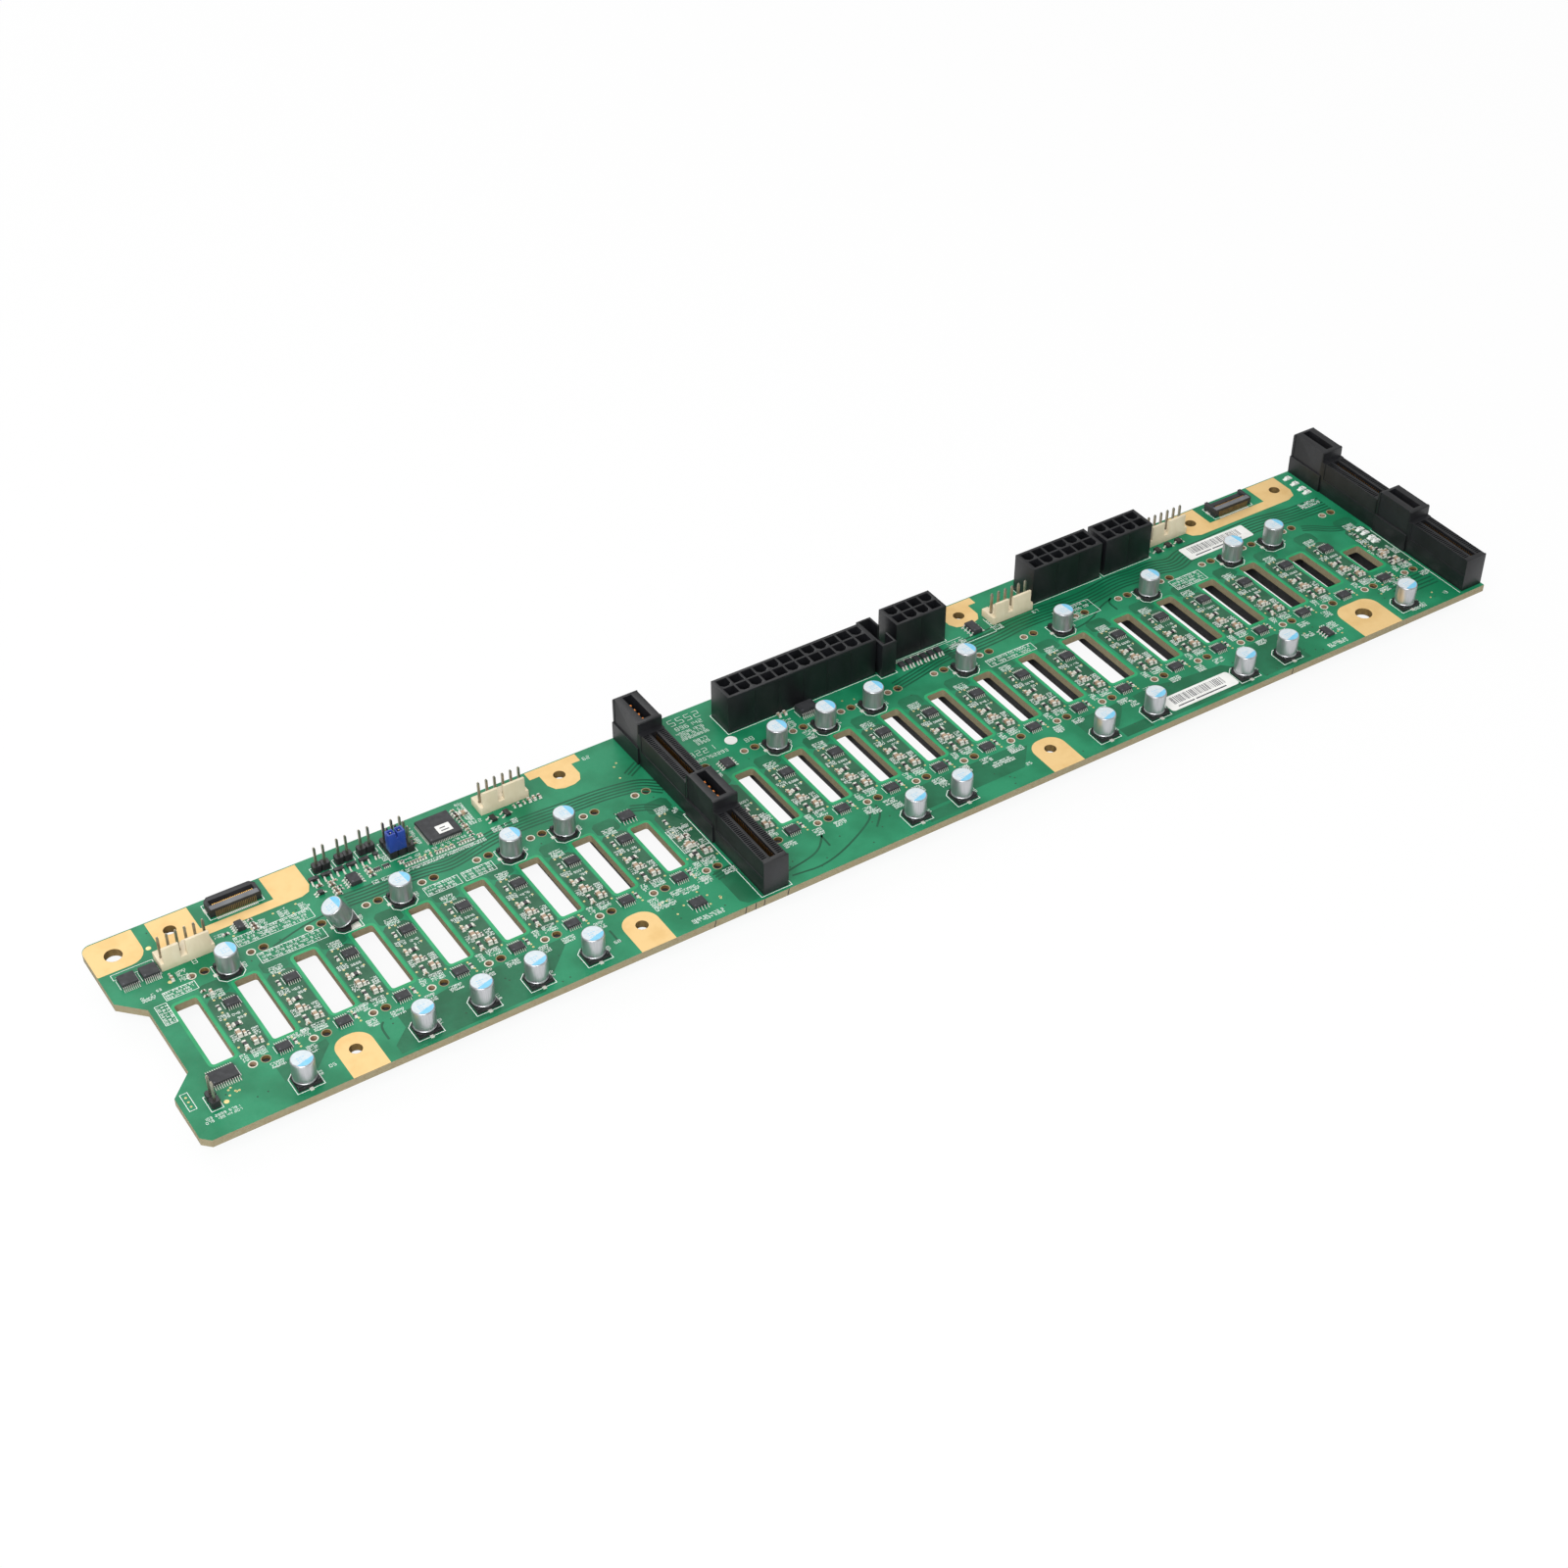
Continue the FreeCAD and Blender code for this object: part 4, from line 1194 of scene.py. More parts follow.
# %% Set the four card-edge connectors in place
spring_view = ((0.0, 3.6), (0.1, 3.6), (0.22, 7.4), (0.34, 9.0), (0.24, 9.7), (0.06, 10.3), (0.0, 10.3))
springs = Shape()
card_boxes = []
for name in ("card_connector_middle_far", "card_connector_middle_near",
             "card_connector_right_far", "card_connector_right_near"):
    low, high = node_box(name)
    middle_x = centre(low, high)[0]
    hung(name, card_mesh, (middle_x, high.y, top))
    card_boxes.append((low, high))
    flange = Shape()
    for side, end in ((-1, low.x), (1, high.x)):
        for y in contact_steps:
            springs.slab(spring_view, (middle_x + side * 0.95, high.y + y, top), (-side, 0), 0.22)
        flange.block((middle_x + side * card_half, high.y - tall_length, top), (end, high.y - 0.05, top + 6.2),
                     0, 0.12)
    piece(name + "_flange", flange, "card_black")
piece("card_contacts", springs, "gold_contact")
for blade_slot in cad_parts["card_connector_blades"].material_slots:
    blade_slot.material = looks["copper_blade"]
print("card-edge connectors:", len(card_boxes))

# %% [markdown]
# ## Power connectors
# Two rows of cells, square and cut-cornered in alternating pairs so that a plug fits one way only. Each
# cell holds one terminal. Shallow grooves on the outer walls show where the mould's inserts met.

# %% Power connectors
cell_pitch, cell_half, cell_cut = 4.2, 1.75, 1.0
power_rim, row_extra, cell_depth = 0.7, 1.2, 9.0
cut_corner_columns = ((1, 2), (0, 3))
terminals = Shape()
power_boxes, cell_places = [], []
for name in ("power_connector_wide", "power_connector_middle", "power_connector_right_1",
             "power_connector_right_2"):
    low, high = node_box(name)
    power_boxes.append((low, high))
    solid, cutter = Shape(), Shape()
    solid.block(low, high)
    columns = round((high.x - low.x - 2 * power_rim) / cell_pitch)
    for column in range(columns):
        x = low.x + power_rim + (column + 0.5) * cell_pitch
        for row in range(2):
            y = low.y + row_extra / 2 + (row + 0.5) * cell_pitch
            cell_places.append((x, y))
            left, near, right, far = spot(x, y, cell_half)
            points = rectangle(left, near, right, far)
            if column % 4 in cut_corner_columns[row]:
                points = [(left + cell_cut, near), (right - cell_cut, near), (right, near + cell_cut),
                          (right, far), (left, far), (left, near + cell_cut)]
            cutter.prism(points, high.z - cell_depth, high.z + 1)
            terminals.block((x - 0.55, y - 0.55, high.z - cell_depth - 0.1), (x + 0.55, y + 0.55, high.z - 3.2),
                            0, 0.25)
        if column % 2 == 1 and column < columns - 1:
            groove = x + cell_pitch / 2
            for wall in (low.y, high.y):
                cutter.block((groove - 0.12, wall - 0.07, low.z + 0.5), (groove + 0.12, wall + 0.07, high.z - 0.9))
    housing(name, solid, cutter, 0.13, "power_black")
piece("power_terminals", terminals, "tin")
print("power cells:", len(cell_places))

# %% [markdown]
# The service header is a plain shroud with a key slot in one wall and a row of pins inside.


# %% Service header
def pin(shape, x, y, low_z, high_z):
    """A square pin with a pointed tip."""
    half = 0.32
    shape.loft([ring(rectangle(*spot(x, y, reach)), level)
                for reach, level in ((half, low_z), (half, high_z - 0.45), (half * 0.45, high_z))])


low, high = node_box("service_header")
service_box = (low, high)
solid, cutter = Shape(), Shape()
solid.block(low, high)
cutter.block((low.x + 0.7, low.y + 0.7, low.z + 1.7), (high.x - 0.7, high.y - 0.7, high.z + 1))
middle_x, middle_y = centre(low, high)
cutter.block((high.x - 0.8, middle_y - 2.0, high.z - 5.0), (high.x + 0.5, middle_y + 2.0, high.z + 1))
housing("service_header", solid, cutter, 0.12, "power_black")
pin_pitch = 2.54
service_pins = Shape()
for index in range(4):
    pin(service_pins, middle_x, middle_y + (index - 1.5) * pin_pitch, low.z + 1.6, high.z - 3.0)
piece("service_pins", service_pins, "steel_pin")

# %% [markdown]
# ## Fan headers
# A cream base, a friction wall at its near side split by a notch, and six pins behind it. The wall stands
# on a sloping foot, and its top edge is eased so that the plug's latch can ride over it.

# %% Fan headers
wall_inset, wall_thickness, fan_base = 1.0, 1.2, 2.6
fan_boxes = []
for number in range(1, 5):
    name = "fan_header_%d" % number
    low, high = node_box(name)
    fan_boxes.append((low, high))
    base_top = low.z + fan_base
    middle_x = centre(low, high)[0]
    depth, tall = high.y - low.y, high.z - low.z
    solid, cutter = Shape(), Shape()
    view = [(0, 0), (depth, 0), (depth, fan_base), (wall_thickness + 0.9, fan_base),
            (wall_thickness, fan_base + 0.7), (wall_thickness, tall - 0.5), (wall_thickness - 0.4, tall), (0, tall)]
    solid.slab(view[::-1], (middle_x, low.y, low.z), (0, 1), high.x - low.x)
    for left, right in ((low.x - 1, low.x + wall_inset), (high.x - wall_inset, high.x + 1)):
        cutter.block((left, low.y - 1, base_top), (right, high.y + 1, high.z + 1))
    cutter.block((middle_x - 1.9, low.y - 1, base_top), (middle_x, low.y + 3, high.z + 1))
    for index in range(6):
        x = low.x + (index + 0.5) * pin_pitch
        cutter.block((x - 0.45, low.y + 2.55, base_top - 0.3), (x + 0.45, low.y + 3.45, base_top + 1))
    for index in range(5):
        x = low.x + (index + 1) * pin_pitch
        cutter.block((x - 0.3, high.y - 0.5, low.z - 1), (x + 0.3, high.y + 1, base_top + 1))
    housing(name, solid, cutter, 0.1, "cream")
fan_pins, pin_places = Shape(), []
for low, high in boxes_of("fan_header_pins"):
    pin_places.append(centre(low, high))
    pin(fan_pins, *centre(low, high), low.z - 0.3, high.z)
piece("fan_pins", fan_pins, "steel_pin", ["fan_header_pins"])

# %% [markdown]
# ## Pin headers and the blue shunt
# Each pin of a header stands in its own eight-sided bead, and beads are moulded side by side. The shunt is
# a blue cap over two pins, with a well at each pin and a groove between them.

# %% Pin headers
bead, bead_cut = pin_pitch, 0.42
header_names = ("two_pin_headers", "jumper_header", "test_header")
header_beads = Shape()
header_boxes = [box for name in header_names for box in boxes_of(name)]
for low, high in header_boxes:
    for column in range(round((high.x - low.x) / bead)):
        for row in range(round((high.y - low.y) / bead)):
            left, near = low.x + column * bead, low.y + row * bead
            right, far = left + bead, near + bead
            points = [(left + bead_cut, near), (right - bead_cut, near), (right, near + bead_cut),
                      (right, far - bead_cut), (right - bead_cut, far), (left + bead_cut, far),
                      (left, far - bead_cut), (left, near + bead_cut)]
            middle_x, middle_y = left + bead / 2, near + bead / 2
            inner = [(middle_x + (x - middle_x) * 0.93, middle_y + (y - middle_y) * 0.93) for x, y in points]
            header_beads.loft([ring(points, low.z + 0.15), ring(points, high.z - 0.15), ring(inner, high.z)])
piece("header_beads", header_beads, "base_black", list(header_names))
header_pins = Shape()
for low, high in boxes_of("header_pins"):
    pin_places.append(centre(low, high))
    pin(header_pins, *centre(low, high), low.z - 0.2, high.z)
piece("header_pins_dressed", header_pins, "steel_pin", ["header_pins"])

low, high = node_box("jumper_cap")
solid, cutter = Shape(), Shape()
solid.block(low, high)
middle = (low + high) / 2
for x in (low.x + bead / 2, high.x - bead / 2):
    for half, level in ((0.42, low.z - 1), (0.75, high.z - 0.6)):
        cutter.block((x - half, middle.y - half, level), (x + half, middle.y + half, high.z + 1))
cutter.block((middle.x - 0.3, low.y - 1, high.z - 1.8), (middle.x + 0.3, high.y + 1, high.z + 1))
put("shunt", dress(carved("shunt", solid, cutter, 0.12), "shunt_blue"), ["jumper_cap"])
print("pin headers:", len(header_boxes))

# %% [markdown]
# ## Signal connectors
# A low dark surface connector: a slot between two rails, with a pale ledge on the front rail, a row of
# gold contacts along the slot and brass legs that come down the front and end on white solder. The left
# one has its rear corners cut, and the rear wall of the right one is lower between its end posts.

# %% Signal connectors
slot_near, slot_far, signal_wall, ledge_height, signal_pitch = 2.1, 4.1, 1.1, 0.14, 0.5
leg_view = ((0.1, 0.03), (0.6, 0.03), (0.6, 0.16), (0.24, 0.16), (0.16, 1.9), (0, 1.9))
signal_boxes = []
for name in ("signal_connector_left", "signal_connector_right"):
    low, high = node_box(name)
    signal_boxes.append((low, high))
    solid, cutter, trim = Shape(), Shape(), Shape()
    face = low.y + 0.3
    if name.endswith("left"):
        solid.prism([(low.x, face), (high.x, face), (high.x, high.y - 1.3), (high.x - 1.3, high.y),
                     (low.x + 1.3, high.y), (low.x, high.y - 1.3)], low.z, high.z)
    else:
        solid.block((low.x, face, low.z), high)
        cutter.block((low.x + signal_wall, low.y + slot_far - 0.1, high.z - 1.3),
                     (high.x - signal_wall, high.y + 1, high.z + 1))
    cutter.block((low.x + signal_wall, low.y + slot_near, low.z + 0.7),
                 (high.x - signal_wall, low.y + slot_far, high.z + 1))
    cutter.block((low.x + 0.4, face - 1, high.z - ledge_height), (high.x - 0.4, low.y + slot_near, high.z + 1))
    housing(name, solid, cutter, 0.07, "signal_dark")
    trim.block((low.x + 0.45, face + 0.04, high.z - ledge_height),
               (high.x - 0.45, low.y + slot_near - 0.04, high.z), 0, 0.03)
    count = int((high.x - low.x - 2.8) / signal_pitch)
    for index in range(count):
        x = (low.x + high.x) / 2 + (index - (count - 1) / 2) * signal_pitch
        trim.block((x - 0.13, low.y + slot_near + 0.01, low.z + 0.75),
                   (x + 0.13, low.y + slot_near + 0.4, high.z - 0.12), 1)
        trim.slab(leg_view, (x, face, low.z), (0, -1), 0.2, 2)
        trim.plate(rectangle(x - 0.17, low.y - 1.1, x + 0.17, low.y - 0.15), pad_level, 3)
    for x in (low.x - 0.25, high.x + 0.25):
        trim.block((x - 0.4, low.y + 2.6, top), (x + 0.4, low.y + 4.4, top + 0.35), 3, 0.1)
    piece(name + "_trim", trim, "ledge_grey gold_contact brass_leg solder")

# %% [markdown]
# ## Underside
# Below each bay hangs a drive receptacle: a collar against the board and a narrower snout that opens
# downwards. A keyed slot for the drive's tongue runs along the snout, with eased edges to lead it in. One
# housing is cut from a block and hung under all bays. Gold contacts stand along the slot, and two pegs of
# the same plastic reach up into the board.

# %% Receptacles, contacts and pegs
low, high = node_box(receptacle_names[0])
socket_half, socket_length, depth = (high.x - low.x) / 2, high.y - low.y, -low.z
collar, snout_step, tongue_half, tongue_depth, lead_pitch = 1.0, 1.5, 0.8, 4.9, 1.27
snout = socket_half - snout_step
solid, cutter = Shape(), Shape()
cross_view = [(-socket_half, 0), (-socket_half, -collar), (-snout, -collar - 0.4), (-snout, -depth),
              (snout, -depth), (snout, -collar - 0.4), (socket_half, -collar), (socket_half, 0)]
solid.slab(cross_view[::-1], (0, 0, 0), (1, 0), socket_length)
slot_end = socket_length / 2 - 1.6
for corner, other, upper in (((-tongue_half, -slot_end), (tongue_half, slot_end), tongue_depth),
                             ((-tongue_half - 0.35, -slot_end - 0.3), (tongue_half + 0.35, slot_end + 0.3), 0.5),
                             ((tongue_half - 0.2, -slot_end), (tongue_half + 0.9, 1.4 - slot_end), tongue_depth)):
    cutter.block((*corner, -depth - 1), (*other, -depth + upper))
for side in (-1, 1):
    for index in range(6):
        y = -socket_length / 2 + 5.5 + index * 6.2
        cutter.block((side * (socket_half + 1), y, -collar - 1), (side * (snout + 0.15), y + 3.6, -0.6))
socket_mesh = dress(carved("drive_receptacle_housing", solid, cutter, 0.1), "socket_black")
contacts, pegs = Shape(), Shape()
for name in receptacle_names:
    low, high = node_box(name)
    middle = (low + high) / 2
    hung(name, socket_mesh, (*middle.xy, high.z))
    wall = middle.x - tongue_half
    for index in range(29):
        y = low.y + 3.4 + index * lead_pitch
        contacts.block((wall, y - 0.2, low.z + 0.55), (wall + 0.16, y + 0.2, low.z + 4.8))
    for y in (low.y + 0.9, high.y - 0.9):
        contacts.block((low.x - 0.7, y - 0.7, -0.22), (low.x + 0.2, y + 0.7, -0.01), 1, 0.05)
    for index in range(24):
        y = low.y + 6.0 + index * lead_pitch
        contacts.block((high.x - 0.15, y - 0.16, -0.2), (high.x + 0.75, y + 0.16, -0.01), 1)
piece("receptacle_contacts", contacts, "gold_contact solder")
for x, y, radius in peg_holes:
    pegs.turned([(radius - 0.12, -0.3), (radius - 0.12, top - 1.1), (radius - 0.5, top - 0.7)], x, y, 24)
piece("receptacle_pegs", pegs, "socket_black")
print("faces of one receptacle:", len(socket_mesh.polygons))

# %% [markdown]
# Through-hole pins end below the board in small cones of solder, one for each pin of the power, fan and
# pin headers, and press-fit tails stand in rows below the card-edge connectors.

# %% Solder joints below
joints = Shape()
for places, radius, depth in ((pin_places, 0.8, 1.0), (cell_places, 1.15, 1.2)):
    for x, y in places:
        joints.turned([(0.18, -depth), (radius * 0.45, -depth * 0.6), (radius, 0.0)], x, y, 14)
for low, high in card_boxes:
    for index, step in enumerate(contact_steps):
        for side in (-1, 1):
            x = centre(low, high)[0] + side * (1.3 + index % 2 * 1.3)
            joints.turned([(0.1, -1.0), (0.22, -0.8), (0.22, 0.0)], x, high.y + step, 8)
piece("solder_joints", joints, "solder")

# %% [markdown]
# ## Printed marks
# White print outlines the parts and numbers them. Here each digit is a few straight strokes, as on a
# seven-stroke display, which at this size reads like the real small print. All numbers are made up.

# %% Strokes and numbers
stroke_ends = {"a": ((0, 1), (1, 1)), "b": ((1, 1), (1, 0.5)), "c": ((1, 0.5), (1, 0)), "d": ((1, 0), (0, 0)),
               "e": ((0, 0), (0, 0.5)), "f": ((0, 0.5), (0, 1)), "g": ((0, 0.5), (1, 0.5))}
digit_width, digit_step = 0.64, 1.04
digit_strokes = "abcdef bc abged abgcd fgbc afgcd afgedc abc abcdefg abcdfg".split()
marks = Shape()


def stroke(start, end, width=0.15):
    """One straight printed line, where the board is."""
    for x, y in (start, end):
        if not board_low.x + 0.2 < x < board_high.x - 0.2 or not board_low.y + 0.2 < y < board_high.y - 0.2:
            return
    ribbon(marks, [start, end], width, print_level)


def number_mark(text, x, y, height, upright=False, width=0.13):
    """Print a number from its lower left corner, along X or turned up along Y."""
    ease = width / 2 / height
    for place, digit in enumerate(text):
        for name in digit_strokes[int(digit)]:
            ends = []
            first, last = stroke_ends[name]
            down = 1 if first[1] > last[1] else -1
            for (across, up), inward in ((first, -down), (last, down)):
                up += inward * ease if first[0] == last[0] else 0
                along, rise = (place * digit_step + across * digit_width) * height, up * height
                ends.append((x - rise, y + along) if upright else (x + along, y + rise))
            stroke(*ends, width)


def frame_mark(left, near, right, far, width=0.2):
    """Print a rectangle; its sides along Y fit between the other two."""
    half = width / 2
    stroke((left - half, near), (right + half, near), width)
    stroke((right, near + half), (right, far - half), width)
    stroke((right + half, far), (left - half, far), width)
    stroke((left, far - half), (left, near + half), width)


def made_up(digits):
    """A made-up number with that many digits."""
    return "".join(random.choice("0123456789") for _ in range(digits))


print("digits:", len(digit_strokes))

# %% [markdown]
# Every bay repeats the same pattern of marks. Marks that would fall on a slot or another opening are left
# out, as the board's own maker would do. One function fills a whole zone with such numbers.

# %% Marks of the bays
mark_size, mark_pitch = 0.75, 0.95
unprinted = [grown(slot, 0.2) for slot in slots] + [grown(extent(points), 0.3) for points in gold_outlines.values()]


def mark_fits(x, y, reach_x, reach_y):
    """True if a mark clears the openings of the board."""
    middle_x, middle_y = x + reach_x / 2, y + reach_y / 2
    on_rim = any(overlap((x, y, x + reach_x, y + reach_y), other) for other in unprinted)
    by_hole = any(hypot(hole_x - middle_x, hole_y - middle_y) < radius + 1.0 for hole_x, hole_y, radius in holes)
    return board_low.y + 0.6 < y and x + reach_x < board_high.x - 1 and not on_rim and not by_hole


def printed(x, y, digits, size=mark_size, upright=False):
    """A made-up number, if the ground is free for it."""
    length = digits * size * digit_step
    if upright and mark_fits(x, y, size, length):
        number_mark(made_up(digits), x + size, y, size, upright=True)
    elif not upright and mark_fits(x, y, length, size):
        number_mark(made_up(digits), x, y, size)


def text_zone(left, near, right, far, upright=True, size=mark_size, pitch=mark_pitch):
    """Fill a zone with made-up numbers, in upright columns or in rows."""
    across, along, across_end, along_end = (left, near, right, far) if upright else (near, left, far, right)
    while across < across_end - size * 0.6:
        place = along
        while place < along_end - size * 1.5:
            digits = min(random.choice((2, 3, 3, 4, 4)), int((along_end - place) / (size * digit_step)))
            if digits > 0:
                printed(*((across, place) if upright else (place, across)), digits, size, upright)
            place += max(1, digits) * size * digit_step + size * random.choice((0.5, 0.8))
        across += pitch


# Distance from the middle of the bay, near end, number of columns and digits in each
bay_columns = (
    (-2.5, -29.7, 4, 4), (-4.1, -47.2, 2, 4), (1.6, -47.5, 2, 4), (-1.9, -54.9, 4, 4), (-5.0, -55.0, 2, 4),
    (0.4, -61.0, 4, 3), (10.5, -61.3, 3, 4),
)
# Distance from the middle of the bay, place along Y and digits; the first two bays have two more rows
bay_rows = [(-4.0, -37.0, 4), (-4.0, -38.0, 4), (-0.5, -38.1, 4), (0.3, -39.9, 3)]
first_bay_rows = [(8.0, -53.2, 8), (9.5, -54.2, 4)]
for number, x in enumerate(bays, 1):
    for step_x, y, columns, digits in bay_columns:
        for column in range(columns):
            printed(x + step_x + column * mark_pitch, y, digits, upright=True)
    for step_x, y, digits in bay_rows + (first_bay_rows if number < 3 else []):
        printed(x + step_x, y, digits)
print("mark faces after the bays:", len(marks.faces))

# %% [markdown]
# Outlines follow the pieces that they belong to, at a small distance. Capacitors get theirs with the same
# cut corners as their bases, and framed notes fill free ground between the parts.

# %% Outlines and framed notes
for low, high in card_boxes:
    frame_mark(low.x - 0.5, low.y - 0.35, high.x + 0.5, high.y + 0.3)
for low, high in power_boxes + [service_box] + signal_boxes:
    frame_mark(low.x - 0.35, low.y - 0.45, high.x + 0.35, min(high.y + 0.35, board_high.y - 0.35))
for box in header_boxes:
    frame_mark(*ground(*box, 0.35))
for x, y, far_row, leaning in cap_places:
    reach, inner = 3.75, 2.2
    side = 1 if far_row else -1
    corners = [(-inner, -reach), (inner, -reach), (reach, -inner), (reach, reach), (-reach, reach), (-reach, -inner)]
    if leaning:
        corners[1:3] = [(reach, -reach)]
    corners = [(x + px, y + py * side) for px, py in corners + corners[:1]]
    ribbon(marks, corners if far_row else corners[::-1], 0.2, print_level)
    printed(x + 4.0, y - 1.2, 3, upright=True)
for name in ("bay_chips_far", "bay_chips_near", "loose_chips"):
    for low, high in boxes_of(name):
        for x in (low.x - 0.25, high.x + 0.25):
            stroke((x, low.y + 0.3), (x, high.y - 0.3), 0.16)
# Left, near, right, far, rows of numbers, and whether they stand upright
framed_notes = (
    (29.2, -15.2, 51.4, -11.2, 3, False), (32.0, -24.3, 51.0, -20.2, 3, False),
    (5.2, -23.7, 14.2, -20.5, 3, False), (1.5, -32.2, 4.8, -24.2, 3, True),
    (80.6, -24.8, 91.0, -21.0, 3, False), (92.2, -24.8, 101.6, -21.0, 3, False),
    (269.5, -25.4, 286.5, -22.0, 2, False), (301.5, -20.5, 315.0, -13.5, 4, False),
    (342.0, -25.2, 354.0, -20.2, 4, False), (148.0, -47.5, 152.5, -37.0, 0, True),
    (-5.3, -63.2, -3.3, -56.8, 0, True), (-3.6, -9.2, 8.0, -7.0, 0, True),
)
for left, near, right, far, rows, upright in framed_notes:
    frame_mark(left, near, right, far, 0.16)
    if rows:
        pitch = ((right - left) if upright else (far - near)) / rows
        size, rim = pitch * 0.56, pitch * 0.3
        text_zone(left + rim, near + rim, right - rim * 0.5, far - rim * 0.5, upright, size, pitch)
stroke((245.6, -8.0), (270.4, -8.0))
stroke((264.4, -11.6), (281.6, -11.6))
stroke((281.6, -11.4), (281.6, -4.4))
print("framed notes:", len(framed_notes))

# %% [markdown]
# Everything else is print beside its part: short numbers, upright or along the board, packed close where
# the parts are small. The zones below follow the photograph's, and each is filled with made-up numbers.

# %% Zones of small print
# Left, near, right and far end of each zone
upright_zones = (
    (80.2, -12.7, 104.5, -10.9), (88.3, -4.0, 89.2, 4.6), (108.0, -11.0, 110.6, -8.2), (112.0, -10.4, 113.0, -8.2),
    (114.4, -10.6, 116.4, -8.2), (70.3, -12.2, 72.3, -10.6), (73.0, -12.4, 80.0, -10.4), (76.8, -5.2, 79.0, -1.0),
    (-0.2, -21.2, 3.9, -18.6), (11.2, -19.0, 14.2, -14.2), (25.2, -9.0, 27.6, -6.8), (36.8, -14.0, 39.6, -7.4),
    (43.4, -10.6, 46.6, -6.4), (49.4, -11.0, 52.6, -7.8), (148.2, -40.2, 151.7, -37.2), (150.0, -55.2, 152.6, -51.4),
    (145.0, -60.0, 148.0, -53.0), (154.4, -31.2, 156.2, -28.6), (153.4, -38.2, 155.6, -35.2),
    (173.0, -25.2, 174.8, -21.0), (173.8, -48.2, 176.2, -44.4), (171.0, -56.2, 174.2, -52.4),
    (250.0, -61.8, 259.2, -58.8), (242.0, -64.2, 249.2, -61.8), (208.0, -63.6, 211.2, -61.0),
    (201.4, -62.2, 204.6, -59.0), (217.0, -61.6, 219.6, -58.0), (224.4, -63.2, 227.6, -60.4),
    (233.4, -61.6, 236.2, -58.0), (266.0, -61.6, 269.2, -58.0), (293.0, -63.6, 296.2, -60.4),
    (129.5, -63.6, 136.0, -60.4), (139.0, -61.8, 144.6, -59.0), (358.6, -66.0, 362.4, -62.8),
    (366.0, -66.4, 371.6, -63.0), (406.2, -44.2, 407.4, -41.0), (412.8, -47.2, 413.8, -41.0),
    (404.8, -12.6, 412.0, -9.2), (393.4, -56.0, 398.2, -52.4), (400.4, -60.2, 407.4, -56.6),
    (282.0, -11.2, 284.6, -3.0), (264.4, -11.0, 270.6, -8.6), (202.4, -17.2, 205.6, -12.0),
    (204.4, -24.6, 207.6, -19.6), (266.4, -14.4, 268.4, -9.4),
)
level_zones = (
    (81.0, -8.2, 101.2, -7.0), (104.0, -4.6, 106.9, 5.4), (4.4, -19.2, 7.2, -17.8), (-3.5, -68.4, 7.0, -67.2),
    (-3.5, -69.6, 7.0, -68.5), (407.0, -31.9, 409.9, -31.0), (407.0, -35.9, 409.9, -35.0),
    (407.0, -37.4, 409.9, -36.5), (407.0, -39.4, 409.9, -38.5), (407.6, -54.6, 413.4, -53.6),
    (135.4, -73.4, 146.0, -71.2), (361.8, -73.6, 369.6, -71.4), (396.0, -73.4, 403.0, -70.6),
)
for zones, upright in ((upright_zones, True), (level_zones, False)):
    for zone in zones:
        text_zone(*zone, upright)
# Place, digits and size: first two tall numbers with short lines of smaller ones, then single numbers
large_numbers = [
    (173.6, 2.4, 4, 2.7), (174.0, -0.3, 6, 1.5), (173.0, -2.3, 9, 1.0), (173.6, -3.7, 8, 1.0),
    (173.2, -5.1, 9, 1.0), (175.8, -7.6, 4, 1.1), (175.8, -9.1, 4, 1.1), (171.0, -13.3, 4, 2.2),
    (171.2, -16.0, 9, 1.2), (8.8, 2.6, 3, 1.0), (29.2, 3.8, 2, 1.0), (112.0, 3.4, 1, 1.2), (144.6, 3.0, 2, 1.2),
    (30.6, -68.4, 2, 1.0), (113.8, -68.4, 2, 1.0), (250.6, -68.4, 2, 1.0), (369.8, -68.4, 2, 1.0),
    (409.8, -72.0, 2, 1.2), (188.4, -15.6, 2, 1.6), (213.0, -14.4, 2, 1.2), (16.6, -14.6, 1, 1.8),
]
for low, high in fan_boxes:
    large_numbers += [(low.x - 1.6, low.y - 1.9, 1, 1.2), (high.x - 1.0, low.y - 1.9, 2, 1.2)]
for large_number in large_numbers:
    printed(*large_number)
piece("printed_marks", marks, "print_white")

# %% [markdown]
# ## Vias and test points
# Gold dots are bare test points, and small dark dots are vias that the mask has closed. All are flat discs.
# The gold ones stand at fixed steps from each bay's middle and in a few groups, and the dark ones are
# sprinkled by seeded chance wherever the ground is free.

# %% Vias
vias = Shape()
gold_radius, gold_dot, dark_radius, dark_dot, via_reach = 0.32, 0.12, 0.26, 0.15, 0.3


def via_fits(x, y, reach):
    """True if a via clears the openings and the parts."""
    return mark_fits(x - via_reach, y - via_reach, 2 * via_reach, 2 * via_reach) and is_free(spot(x, y, reach))


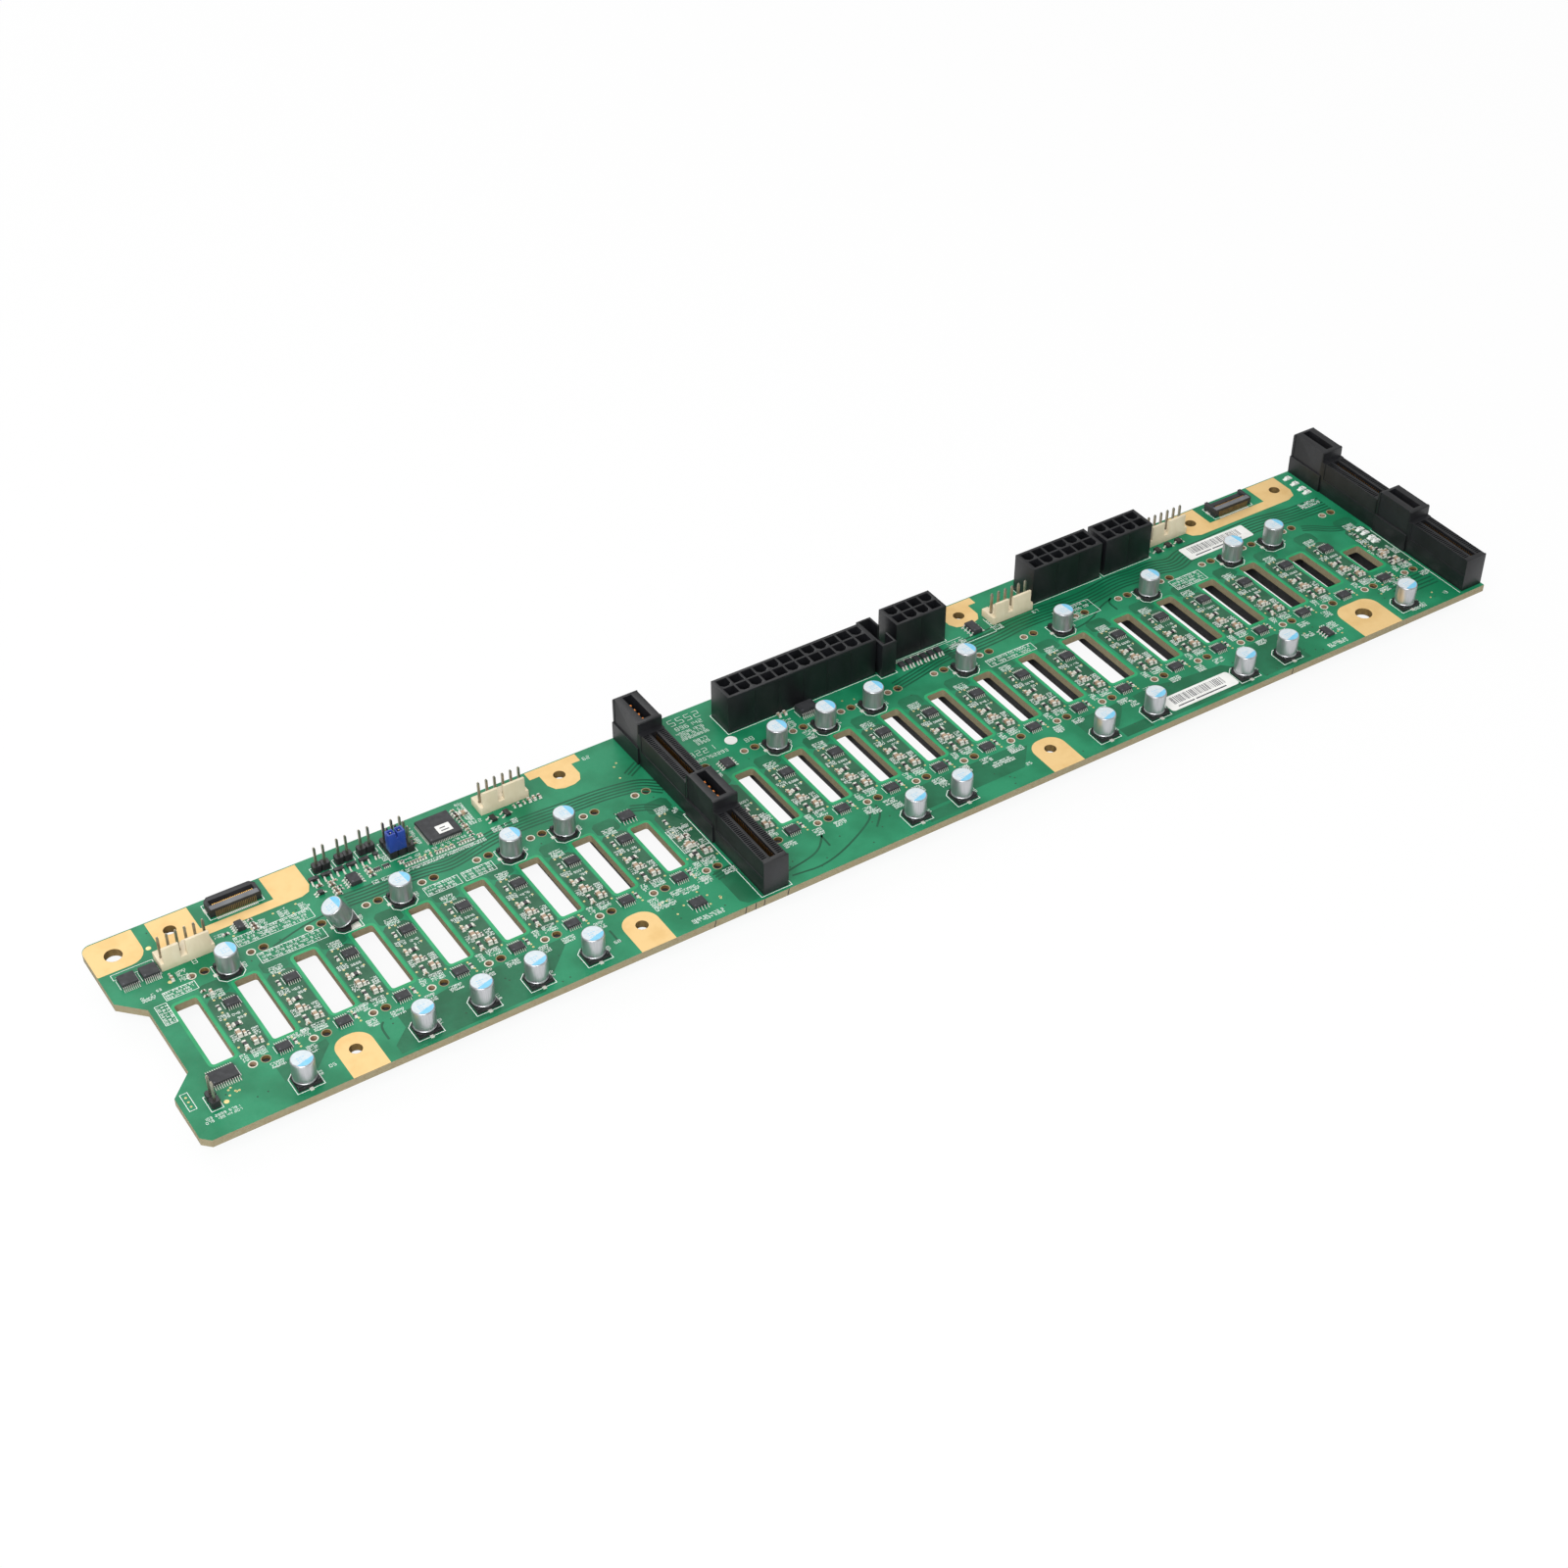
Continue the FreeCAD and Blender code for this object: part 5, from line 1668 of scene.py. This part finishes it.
# Distance from the middle of the bay and place along Y
gold_steps = ((-2.3, -30.1), (-0.6, -30.1), (-2.3, -35.5), (-2.8, -38.2), (-2.8, -39.8), (2.5, -39.2),
              (-3.9, -49.3), (2.9, -52.3), (9.0, -53.3), (9.6, -56.3), (9.6, -57.5))
gold_dots = [(x + step_x, y) for x in bays for step_x, y in gold_steps]
gold_dots += [(86 + step * 1.6, -8.9) for step in range(7)] + [(-4.3, -58.3 - step * 1.75) for step in range(3)]
gold_dots += [(29.8, -10.4), (35, -10.4), (42.3, -8), (47, -10.8), (49, -7.8), (175, -42.5), (147.4, -49.8),
              (222.5, -14.6), (226.0, -15.8), (234.0, -12.6), (150.4, -4.4), (151.8, -3.2), (149.4, -9.6)]
for count, left, near, right, far in ((6, 5, -64, 9, -61), (14, 129, -72, 148, -61), (12, 358, -73, 372, -63),
                                      (12, 393, -72, 412, -54)):
    gold_dots += [(random.uniform(left, right), random.uniform(near, far)) for _ in range(count)]
for x, y in gold_dots:
    if via_fits(x, y, 0.1):
        vias.plate(circle(x, y, gold_radius, 10), pad_level - 0.004)
        vias.plate(circle(x, y, gold_dot, 8), pad_level, 1)
for x, y, radius in ((8.9, -2.5, 0.75), (8.7, -17.6, 0.6), (3.8, -65.0, 0.7)):
    vias.plate(circle(x, y, radius, 20), pad_level - 0.004)
dark_via_count = 620
for _ in range(dark_via_count):
    x, y = random.uniform(board_low.x + 8, board_high.x - 10), random.uniform(-73.5, board_high.y - 1.5)
    on_tracks = x > 58 and y > -19.5 and not 78 < x < 116
    if via_fits(x, y, 0.2) and not -60 < y < -24 and not on_tracks:
        vias.plate(circle(x, y, dark_radius, 8), track_level + 0.004, 2)
        vias.plate(circle(x, y, dark_dot, 6), track_level + 0.007, 1)
piece("vias", vias, "gold_spot scored_dark track_green")

# %% [markdown]
# ## Labels and scores
# Two white paper labels carry rows of bars, and one small round dot of paper lies on its own. The bars have
# random widths and say nothing. The near edge shows a few thin dark scores where the router paused. They
# are strips a hair in front of the wall, so they need no cutting.

# %% Paper labels, and scores on the near edge
labels = Shape()
paper_low, paper_high = top + 0.045, top + 0.12
for left, near, right, far, radius in ((355.7, -15.0, 381.8, -8.4, 0.6), (301.6, -72.0, 327.2, -65.4, 1.1)):
    labels.prism(rounded(left, near, right, far, radius), paper_low, paper_high)
    x = left + 2.6
    while x < right - 3.4:
        bar = random.choice((0.12, 0.2, 0.32))
        labels.plate(rectangle(x, near + 2.4, x + bar, far - 0.9), paper_high + 0.004, 1)
        x += bar + random.choice((0.16, 0.26, 0.4))
    for share in (0.0, 0.34, 0.62):
        start = left + 3.0 + share * (right - left - 6.0)
        labels.plate(rectangle(start, near + 1.0, start + 0.24 * (right - left), near + 1.5), paper_high + 0.004, 1)
labels.prism(circle(185.0, -12.4, 1.9), paper_low, paper_high)
piece("paper_labels", labels, "label_paper label_ink")

scores = Shape()
for x, lean in ((140.4, 0.5), (150.2, 0.4), (153.4, 0.3), (156.2, 0.3), (163.8, 0.5), (345.0, 0.3)):
    y, first = board_low.y - 0.002, len(scores.corners)
    scores.corners += [(x, y, 0.05), (x + 0.35, y, 0.05), (x + 0.35 + lean, y, top - 0.05), (x + lean, y, top - 0.05)]
    scores.add_face(range(first, first + 4))
piece("edge_scores", scores, "scored_dark")

# %% [markdown]
# ## Floor, light and camera
# The board lies on a plain pale floor under soft light. For camera rays the floor shows mostly light of its own,
# so that it reads as white without more light.

# %% Floor
rest_level = min(node_box(name)[0].z for name in receptacle_names)
floor_near_left, floor_far_right, floor_gap = (-4000, -4000), (4400, 4000), 0.05
floor_shape = Shape()
floor_shape.plate(rectangle(*floor_near_left, *floor_far_right), rest_level - floor_gap)
floor_mesh = as_mesh("floor", floor_shape)
floor = shown(bpy.data.objects.new("floor", floor_mesh))
pale = Finish("pale_floor", Roughness=0.9)
pale.paint(Base_Color=pale.blend(pale.speckle(60.0), (243, 243, 243), (240, 240, 240)))
rays = pale.node("ShaderNodeLightPath", {}, {}, out="Is Camera Ray")
glow = pale.node("ShaderNodeEmission", {}, {"Color": (1, 1, 1, 1), "Strength": 1.0})
whole = pale.node("ShaderNodeMixShader", {}, {0: rays * 0.92, 1: Wire(pale, pale.shader.outputs[0]), 2: glow})
pale.feed(pale.tree.nodes["Material Output"].inputs["Surface"], whole)
floor_mesh.materials.append(looks["pale_floor"])
print("floor at", round(rest_level, 2))

# %% [markdown]
# A broad lamp above and in front gives the plastic its soft rims, a weaker one fills from the right, and
# an even pale sky does the rest. The camera stands where the photograph's camera stood.

# %% Lamps, sky and camera
world = bpy.data.worlds.new("pale_sky")
bpy.context.scene.world = world
world.use_nodes = True
sky = world.node_tree.nodes["Background"].inputs
sky["Color"].default_value, sky["Strength"].default_value = (1, 1, 1, 1), 0.5
board_middle = Vector((*centre(board_low, board_high), 0)) * mm
# Name, place in metres, size in metres and power
lamps = (("front_lamp", (-0.45, -0.7, 0.95), 0.9, 13.5), ("right_lamp", (1.3, -0.5, 1.0), 0.9, 1.0),
         ("back_lamp", (0.2, 1.2, 1.1), 1.2, 8))
for name, place, size, power in lamps:
    light = bpy.data.lights.new(name, "AREA")
    light.size, light.energy = size, power
    lamp = shown(bpy.data.objects.new(name, light))
    lamp.location = Vector(place)
    lamp.rotation_euler = (board_middle - lamp.location).to_track_quat("-Z", "Y").to_euler()

camera_place, camera_turn, camera_angle = (-124.55, -517.89, 484.12), (49.942, -0.026, -32.955), 33.2507
camera = bpy.data.cameras.new("camera")
camera.angle = radians(camera_angle)
camera.clip_start = 0.01
camera_thing = shown(bpy.data.objects.new("camera", camera))
camera_thing.location = Vector(camera_place) * mm
camera_thing.rotation_euler = [radians(turn) for turn in camera_turn]
bpy.context.scene.camera = camera_thing
bpy.context.scene.view_settings.view_transform = "Standard"
print("camera is", round((camera_thing.location - board_middle).length, 3), "metres from the board")

# %% [markdown]
# ## Totals
# The last line prints the number of triangles in all.

# %% Count the triangles
print("triangles in all:", sum(tally.values()))
